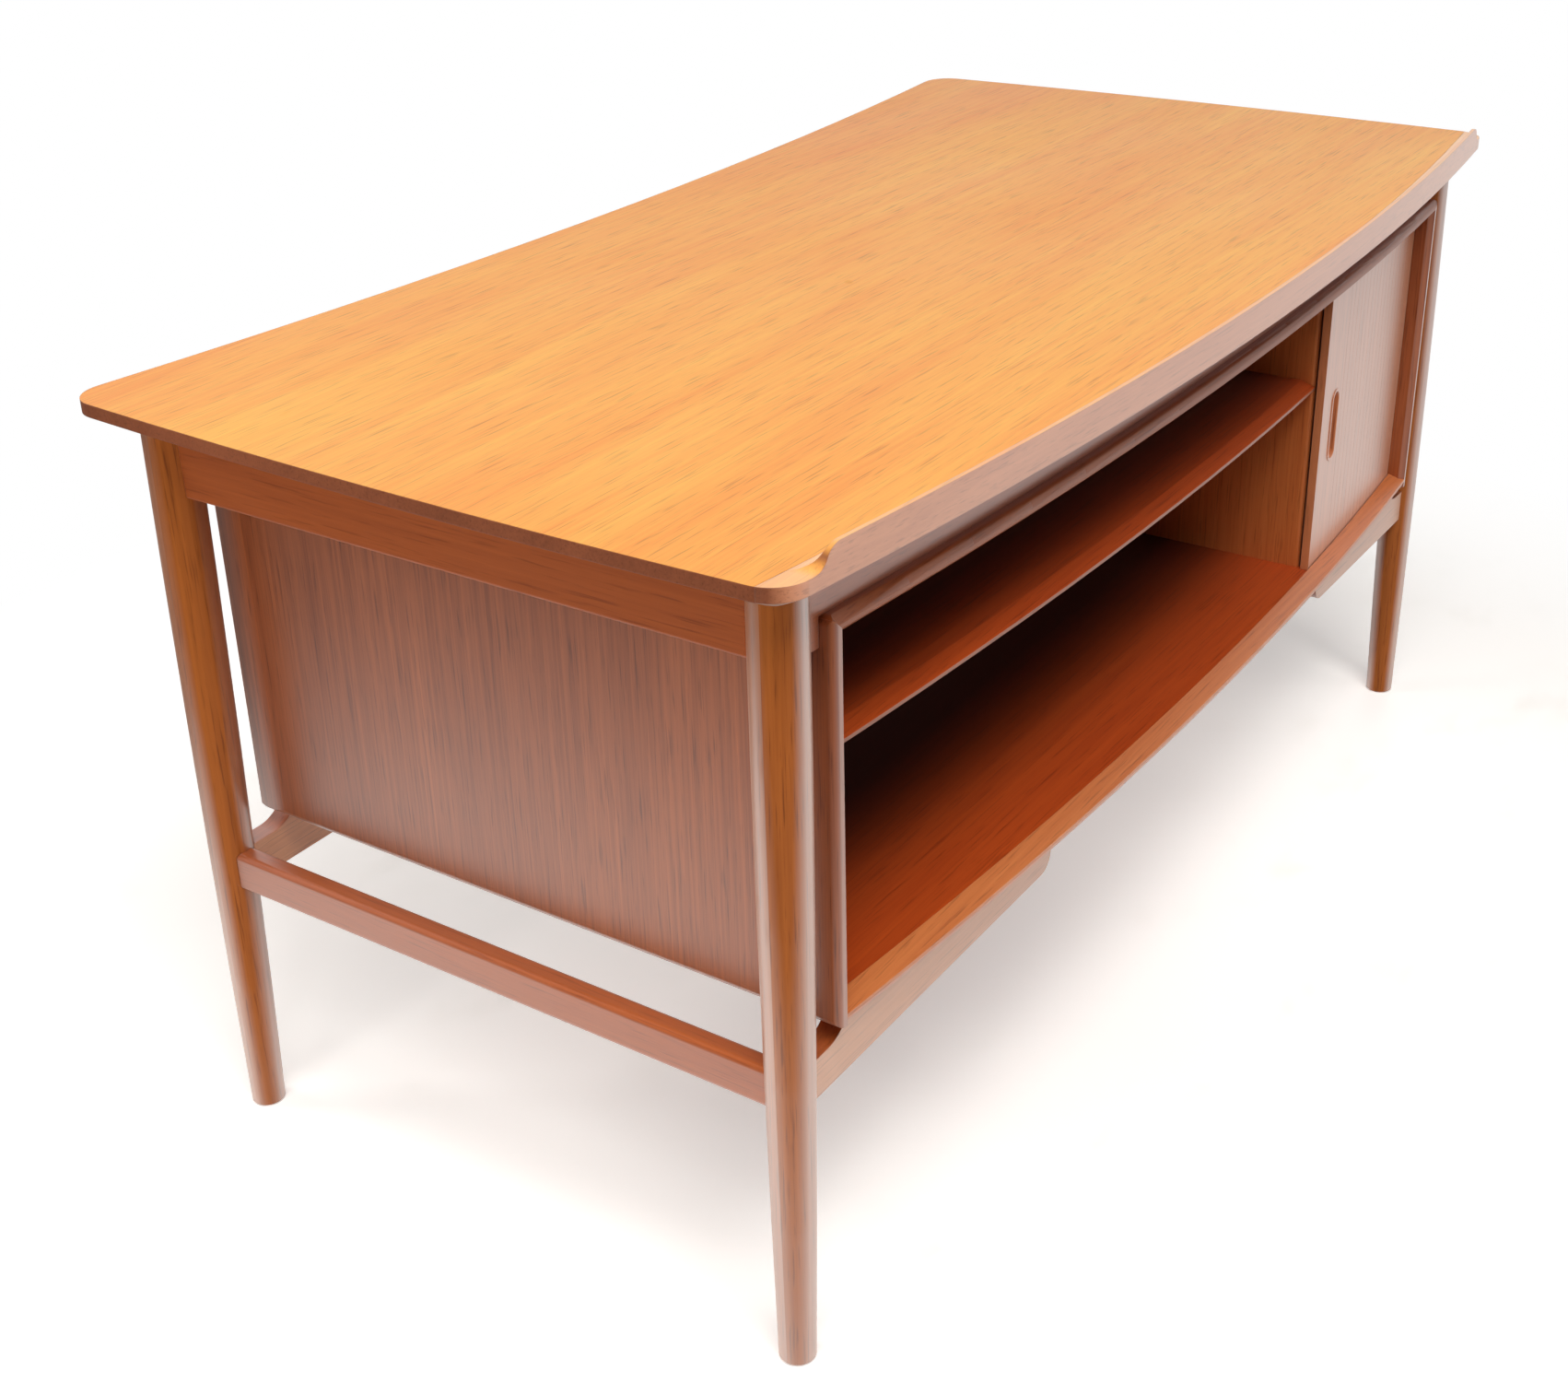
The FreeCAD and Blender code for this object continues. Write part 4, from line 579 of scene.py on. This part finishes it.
def steel_material(name, bright, tarnish):
    """Zinc-plated steel with dull patches."""
    material, tree, shader = new_material(name)
    place = add(tree, "ShaderNodeTexCoord")
    cloud = stretched_noise(tree, place.outputs["Object"], along=160.0, across=160.0, detail=3.0)
    patch = spread(tree, cloud, 0.42, 0.64)
    join(tree, blend(tree, patch, bright, tarnish), shader.inputs["Base Color"])
    join(tree, spread(tree, cloud, 0.3, 0.7, 0.26, 0.5), shader.inputs["Roughness"])
    shader.inputs["Metallic"].default_value = 1.0
    return material


def dress(names, material):
    """Gives nodes of the CAD frame one material."""
    for name in names:
        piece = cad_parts[name]
        if len(piece.material_slots) == 0:
            piece.data.materials.append(material)
        for slot in piece.material_slots:
            slot.material = material


def on_both_sides(pattern):
    """Node names for the left and the right piece."""
    return [pattern.format(side) for side in SIDES]


# Pieces

class DESK_OT_top(bpy.types.Operator):
    """Finish the desk top and its raised lip"""
    bl_idname = "desk.top"
    bl_label = "Desk top"

    def execute(self, context):
        look = context.scene.desk_look.top
        surface = (UPWARD, WHOLE_COVE, look.veneer_pale, look.veneer_deep)
        # Painted sheen: the lip's forward faces take paler colours.
        front = (FORWARD, WHOLE_COVE, look.lip_pale, look.lip_deep)
        dress(["top_panel"], wood_material(
            "top_veneer", GRAIN_ALONG_X, look.pale, look.deep, look.gloss, shift=(0.35, 0.04, 0.0),
            figure=look.figure, bands=1.3, fibres=0.8, pores=0.5, edge_reach=0.002, coat=0.13,
            sheen=0.04, trims=(surface,)))
        dress(["top_lip"], wood_material(
            "top_lip_wood", GRAIN_ALONG_X, look.pale, look.deep, look.gloss, shift=(0.35, 0.04, 0.0),
            figure=look.figure, bands=1.0, fibres=0.7, pores=0.4, edge_reach=0.002, coat=0.9,
            trims=(front, surface)))
        return {"FINISHED"}


class DESK_OT_legs(bpy.types.Operator):
    """Finish the four turned legs"""
    bl_idname = "desk.legs"
    bl_label = "Legs"

    def execute(self, context):
        look = context.scene.desk_look.legs
        dress(on_both_sides("leg_bookcase_{}") + on_both_sides("leg_sitting_{}"), wood_material(
            "leg_wood", GRAIN_ALONG_Z, look.pale, look.deep, look.gloss, shift=(0.0, 0.3, 0.2),
            bands=0.9, fibres=1.1, pores=0.7, edge_reach=0.002, coat=1.0, coat_ior=3.4,
            glance=(0.18, 0.45), sheen=0.3))
        return {"FINISHED"}


class DESK_OT_rails(bpy.types.Operator):
    """Finish the aprons, stretchers, brackets and cleats"""
    bl_idname = "desk.rails"
    bl_label = "Frame rails"

    def execute(self, context):
        look = context.scene.desk_look.rails
        dress(on_both_sides("end_apron_{}"), wood_material(
            "apron_wood", GRAIN_ALONG_Y, look.pale, look.deep, look.gloss, shift=(0.6, 0.0, 0.1),
            edge_reach=0.0025, coat=0.2, sheen=0.04))
        dress(on_both_sides("end_stretcher_{}"), wood_material(
            "stretcher_wood", GRAIN_ALONG_Y, look.pale, look.deep, look.gloss, shift=(0.9, 0.0, 0.3),
            edge_reach=0.0025))
        dress(["bookcase_apron", "sitting_apron", "top_cleats"], wood_material(
            "rail_wood", GRAIN_ALONG_X, look.pale, look.deep, look.gloss, shift=(0.2, 0.5, 0.0),
            edge_reach=0.0025, sheen=0.55))
        brackets = on_both_sides("bracket_bookcase_{}") + on_both_sides("bracket_sitting_{}")
        # Painted sheen and floor-bounce light on the brackets' forward faces.
        bracket_front_sheen = (FORWARD, FLAT_ONLY, look.bracket_pale, look.bracket_deep)
        dress(brackets, wood_material(
            "bracket_wood", GRAIN_ALONG_X, look.pale, look.deep, look.gloss, shift=(0.4, 0.7, 0.0),
            edge_reach=0.0025, trims=(bracket_front_sheen,)))
        return {"FINISHED"}


class DESK_OT_case(bpy.types.Operator):
    """Finish the outer boards of the case and the pedestals"""
    bl_idname = "desk.case"
    bl_label = "Case"

    def execute(self, context):
        look = context.scene.desk_look.case
        # Flat forward edges: solid lipping colour, partly painted sheen.
        lipped_edge_sheen = (FORWARD, FLAT_ONLY, look.edge_pale, look.edge_deep)
        dress(on_both_sides("case_side_{}"), wood_material(
            "case_veneer_outer", GRAIN_ALONG_Z, look.pale, look.deep, look.gloss, shift=(0.4, 0.1, 0.0),
            figure=0.14, bands=0.8, fibres=1.2, pores=0.8, coat=1.0, sheen=0.2, trims=(lipped_edge_sheen,)))
        dress(on_both_sides("pedestal_inner_side_{}"), wood_material(
            "case_veneer_inner", GRAIN_ALONG_Z, look.pale, look.deep, look.gloss, shift=(0.8, 0.3, 0.0),
            figure=0.14, bands=0.8, fibres=1.0, pores=0.7, coat=0.3, trims=(lipped_edge_sheen,)))
        level = ["bookcase_top"] + on_both_sides("pedestal_top_{}") + on_both_sides("pedestal_bottom_{}")
        dress(level, wood_material(
            "case_veneer_level", GRAIN_ALONG_X, look.pale, look.deep, look.gloss, shift=(0.1, 0.6, 0.0),
            figure=0.16, coat=0.2, sheen=0.08, trims=(lipped_edge_sheen,)))
        return {"FINISHED"}


class DESK_OT_bookcase(bpy.types.Operator):
    """Finish the inside of the bookcase"""
    bl_idname = "desk.bookcase"
    bl_label = "Bookcase"

    def execute(self, context):
        look = context.scene.desk_look.case
        # Flat forward edges: solid lipping colour, partly painted sheen.
        lipped_edge_sheen = (FORWARD, FLAT_ONLY, look.edge_pale, look.edge_deep)
        # The back's front face takes the dark colours: painted shade.
        shaded = (FORWARD, FLAT_ONLY, look.back_pale, look.back_deep)
        dress(["bookcase_back"], wood_material(
            "inner_veneer_back", GRAIN_ALONG_X, look.pale, look.deep, look.gloss, shift=(0.5, 0.1, 0.0),
            coat=0.15, sheen=0.04, trims=(shaded,)))
        # The bookcase floor and shelf get painted shade towards the back.
        for board, depth in (("bookcase_bottom", FLOOR_SHADE_DEPTH), ("bookcase_shelf", SHELF_SHADE_DEPTH)):
            dress([board], wood_material(
                board + "_veneer", GRAIN_ALONG_X, look.inner_pale, look.inner_deep, look.gloss,
                shift=(0.7, 0.2, 0.0), coat=0.3, sheen=0.1, trims=(lipped_edge_sheen,), depth=depth))
        dress(["bookcase_divider"], wood_material(
            "inner_veneer_upright", GRAIN_ALONG_Z, look.lipping_pale, look.lipping_deep, look.gloss,
            shift=(0.3, 0.9, 0.0), coat=0.3, sheen=0.1, trims=(lipped_edge_sheen,)))
        dress(["bookcase_bottom_lipping"], wood_material(
            "lipping_wood", GRAIN_ALONG_X, look.lipping_pale, look.lipping_deep, look.gloss,
            shift=(0.9, 0.4, 0.0), coat=0.4))
        return {"FINISHED"}


class DESK_OT_door(bpy.types.Operator):
    """Finish the tambour door, its pull and its canvas"""
    bl_idname = "desk.door"
    bl_label = "Tambour door"

    def execute(self, context):
        look = context.scene.desk_look.door
        dress(["tambour_slats", "tambour_lead_stile", "tambour_pull"], wood_material(
            "door_wood", GRAIN_ALONG_Z, look.pale, look.deep, look.gloss, shift=(0.2, 0.8, 0.3),
            figure=0.1, bands=0.6, fibres=0.8, pores=0.6, edge_reach=0.0006, edge_pale=0.2,
            coat=1.0, coat_ior=2.6))
        dress(["tambour_canvas"], canvas_material("canvas", look.canvas))
        return {"FINISHED"}


class DESK_OT_drawers(bpy.types.Operator):
    """Finish the drawer fronts, boxes, bottoms and runners"""
    bl_idname = "desk.drawers"
    bl_label = "Drawers"

    def execute(self, context):
        look = context.scene.desk_look.drawers
        drawers = ["drawer_{}_{}".format(side, level) for side in SIDES for level in DRAWER_LEVELS]
        dress([name + "_front" for name in drawers], wood_material(
            "drawer_front_veneer", GRAIN_ALONG_X, look.pale, look.deep, look.gloss, shift=(1.3, 0.2, 0.1),
            figure=0.26))
        dress([name + "_bottom" for name in drawers], wood_material(
            "drawer_bottom_wood", GRAIN_ALONG_X, look.box_pale, look.box_deep, BARE_BOTTOM_ROUGHNESS,
            coat=0.0))
        sides = [name + "_box" for name in drawers] + on_both_sides("drawer_runners_{}")
        dress(sides, wood_material(
            "drawer_side_wood", GRAIN_ALONG_Y, look.box_pale, look.box_deep, BARE_SIDE_ROUGHNESS,
            coat=0.0))
        return {"FINISHED"}


class DESK_OT_fittings(bpy.types.Operator):
    """Finish the screws and the shelf pins"""
    bl_idname = "desk.fittings"
    bl_label = "Screws and pins"

    def execute(self, context):
        look = context.scene.desk_look.fittings
        steel = steel_material("steel", look.steel, look.tarnish)
        dress(["top_screws", "bracket_screws", "shelf_pins"], steel)
        return {"FINISHED"}


# Stage

def floor_material(look):
    """A pale painted floor that keeps the desk's shadow, and is plain white further out."""
    material, tree, shader = new_material("studio_floor")
    place = add(tree, "ShaderNodeNewGeometry")
    speckle = stretched_noise(
        tree, place.outputs["Position"], along=5.0, across=7.0, detail=8.0, roughness=0.75)
    scuffs = spread(tree, speckle, 0.55, 0.75)
    painted = blend(tree, scuffs, look.floor, look.floor_dust)
    join(tree, painted, shader.inputs["Base Color"])
    shader.inputs["Roughness"].default_value = 0.6
    lit = add(tree, "ShaderNodeBsdfDiffuse")
    bright = (look.exposure, look.exposure, look.exposure)
    join(tree, blend(tree, 1.0, painted, bright, "MULTIPLY"), lit.inputs["Color"])
    white = add(tree, "ShaderNodeEmission", strength=1.0)
    white.inputs["Color"].default_value = (1.0, 1.0, 1.0, 1.0)
    outward = add(tree, "ShaderNodeVectorMath", operation="LENGTH")
    join(tree, place.outputs["Position"], outward.inputs[0])
    away = spread(tree, outward.outputs["Value"], look.clear_reach, look.clear_reach * SHADOW_FADE)
    washed = add(tree, "ShaderNodeMixShader")
    join(tree, sum_of(tree, "MAXIMUM", away, look.bleach), washed.inputs["Fac"])
    join(tree, lit.outputs["BSDF"], washed.inputs[1])
    join(tree, white.outputs["Emission"], washed.inputs[2])
    path = add(tree, "ShaderNodeLightPath")
    mirrored = mirrored_rays(tree, path)
    apart = add(tree, "ShaderNodeSeparateXYZ")
    join(tree, place.outputs["Position"], apart.inputs["Vector"])
    bright_side = sum_of(tree, "MINIMUM", spread(tree, apart.outputs["X"], *look.unlit_left),
                         spread(tree, apart.outputs["Y"], *look.unlit_back))
    unlit = add(tree, "ShaderNodeEmission", strength=look.dark_side)
    shown = add(tree, "ShaderNodeMixShader")
    join(tree, sum_of(tree, "MAXIMUM", path.outputs["Is Camera Ray"], bright_side), shown.inputs["Fac"])
    join(tree, unlit.outputs["Emission"], shown.inputs[1])
    join(tree, washed.outputs["Shader"], shown.inputs[2])
    either = add(tree, "ShaderNodeMixShader")
    join(tree, sum_of(tree, "MAXIMUM", path.outputs["Is Camera Ray"], mirrored), either.inputs["Fac"])
    join(tree, shader.outputs["BSDF"], either.inputs[1])
    join(tree, shown.outputs["Shader"], either.inputs[2])
    join(tree, either.outputs["Shader"], tree.nodes["Material Output"].inputs["Surface"])
    return material


def mirrored_rays(tree, path):
    """One where a surface is seen in a mirror or through glass. Returns the value's socket."""
    return sum_of(tree, "MAXIMUM", path.outputs["Is Glossy Ray"], path.outputs["Is Transmission Ray"])


def white_room(look):
    """The room's light: white to the eye, softer on the desk, and dim on the side where the camera stands."""
    world = bpy.data.worlds.new("white_room")
    world.use_nodes = True
    tree = world.node_tree
    background = tree.nodes["Background"]
    background.inputs["Color"].default_value = (1.0, 1.0, 1.0, 1.0)
    direction = add(tree, "ShaderNodeTexCoord")
    likeness = add(tree, "ShaderNodeVectorMath", operation="DOT_PRODUCT")
    join(tree, direction.outputs["Generated"], likeness.inputs[0])
    likeness.inputs[1].default_value = CAMERA_SIDE
    dimmed = spread(tree, likeness.outputs["Value"], 0.2, 0.85, 1.0, look.dark_side)
    path = add(tree, "ShaderNodeLightPath")
    room = spread(tree, mirrored_rays(tree, path), 0.0, 1.0, look.ambient, 1.0)
    level = sum_of(tree, "MULTIPLY", room, dimmed)
    strength = sum_of(tree, "MAXIMUM", level, path.outputs["Is Camera Ray"])
    join(tree, strength, background.inputs["Strength"])
    bpy.context.scene.world = world


def soft_lamp(name, place, width, height, power, tone, mirrored):
    """A large soft box that looks at the middle of the desk. It shows in polished wood only if mirrored."""
    lamp = bpy.data.lights.new(name, "AREA")
    lamp.shape = "RECTANGLE"
    lamp.size = width
    lamp.size_y = height
    lamp.energy = power
    lamp.color = tone
    made = bpy.data.objects.new(name, lamp)
    made.location = place
    made.rotation_euler = (Vector(DESK_MIDDLE) - Vector(place)).to_track_quat("-Z", "Y").to_euler()
    made.visible_glossy = mirrored
    bpy.context.scene.collection.objects.link(made)


def photo_camera():
    """The camera that took the photograph, found from the desk's edges in it."""
    yaw = math.radians(CAMERA_YAW)
    pitch = math.radians(CAMERA_PITCH)
    roll = math.radians(CAMERA_ROLL)
    level = Vector((math.cos(yaw), math.sin(yaw), 0.0))
    ahead = Vector((-math.sin(yaw) * math.cos(pitch), math.cos(yaw) * math.cos(pitch), math.sin(pitch)))
    upward = level.cross(ahead)
    right = math.cos(roll) * level + math.sin(roll) * upward
    up = math.cos(roll) * upward - math.sin(roll) * level
    camera = bpy.data.cameras.new("photo_camera")
    camera.sensor_fit = "HORIZONTAL"
    camera.sensor_width = SENSOR_WIDTH
    camera.lens = SENSOR_WIDTH * PHOTO_FOCAL / PHOTO_WIDTH
    camera.shift_x = -PHOTO_CENTRE[0] / PHOTO_WIDTH
    camera.shift_y = PHOTO_CENTRE[1] / PHOTO_WIDTH
    made = bpy.data.objects.new("photo_camera", camera)
    turn = Matrix((right, up, -ahead)).transposed().to_4x4()
    made.matrix_world = Matrix.Translation(CAMERA_PLACE) @ turn
    bpy.context.scene.collection.objects.link(made)
    bpy.context.scene.camera = made


class DESK_OT_stage(bpy.types.Operator):
    """Lay the floor, hang the lamps and set the camera"""
    bl_idname = "desk.stage"
    bl_label = "Stage"

    def execute(self, context):
        look = context.scene.desk_look.stage
        mesh = bpy.data.meshes.new("studio_floor")
        disc = bmesh.new()
        bmesh.ops.create_circle(disc, cap_ends=True, segments=FLOOR_SEGMENTS, radius=FLOOR_RADIUS)
        disc.to_mesh(mesh)
        disc.free()
        floor = bpy.data.objects.new("studio_floor", mesh)
        floor.location.z = CAD_BOX[0].z
        context.scene.collection.objects.link(floor)
        mesh.materials.append(floor_material(look))
        white_room(look)
        for lamp in LAMPS:
            soft_lamp(*lamp)
        photo_camera()
        context.scene.view_settings.view_transform = "Standard"
        return {"FINISHED"}


class DESK_PT_sidebar(bpy.types.Panel):
    """The desk's pieces and finishes"""
    bl_idname = "DESK_PT_sidebar"
    bl_label = "Tambour desk"
    bl_space_type = "VIEW_3D"
    bl_region_type = "UI"
    bl_category = "Desk"

    def draw(self, context):
        looks = context.scene.desk_look
        for part, operators in SIDEBAR:
            box = self.layout.box()
            for operator in operators:
                box.operator(operator.bl_idname)
            look = getattr(looks, part)
            for name in look.bl_rna.properties.keys():
                if name not in ("rna_type", "name"):
                    box.prop(look, name)


SIDEBAR = (
    ("top", (DESK_OT_top,)),
    ("legs", (DESK_OT_legs,)),
    ("rails", (DESK_OT_rails,)),
    ("case", (DESK_OT_case, DESK_OT_bookcase)),
    ("door", (DESK_OT_door,)),
    ("drawers", (DESK_OT_drawers,)),
    ("fittings", (DESK_OT_fittings,)),
    ("stage", (DESK_OT_stage,)),
)

CLASSES = (
    TopLook, LegLook, FrameLook, CaseLook, DoorLook, DrawerLook, FittingLook, StageLook, DeskLook,
    DESK_OT_top, DESK_OT_legs, DESK_OT_rails, DESK_OT_case, DESK_OT_bookcase, DESK_OT_door, DESK_OT_drawers,
    DESK_OT_fittings, DESK_OT_stage, DESK_PT_sidebar,
)


def register():
    for one in CLASSES:
        bpy.utils.register_class(one)
    bpy.types.Scene.desk_look = bpy.props.PointerProperty(
        type=DeskLook, name="Desk finishes", description="Colours and finishes of the desk")


def unregister():
    del bpy.types.Scene.desk_look
    for one in reversed(CLASSES):
        bpy.utils.unregister_class(one)


def main():
    register()
    bpy.ops.desk.top()
    bpy.ops.desk.legs()
    bpy.ops.desk.rails()
    bpy.ops.desk.case()
    bpy.ops.desk.bookcase()
    bpy.ops.desk.door()
    bpy.ops.desk.drawers()
    bpy.ops.desk.fittings()
    bpy.ops.desk.stage()


if __name__ == "__main__":
    main()
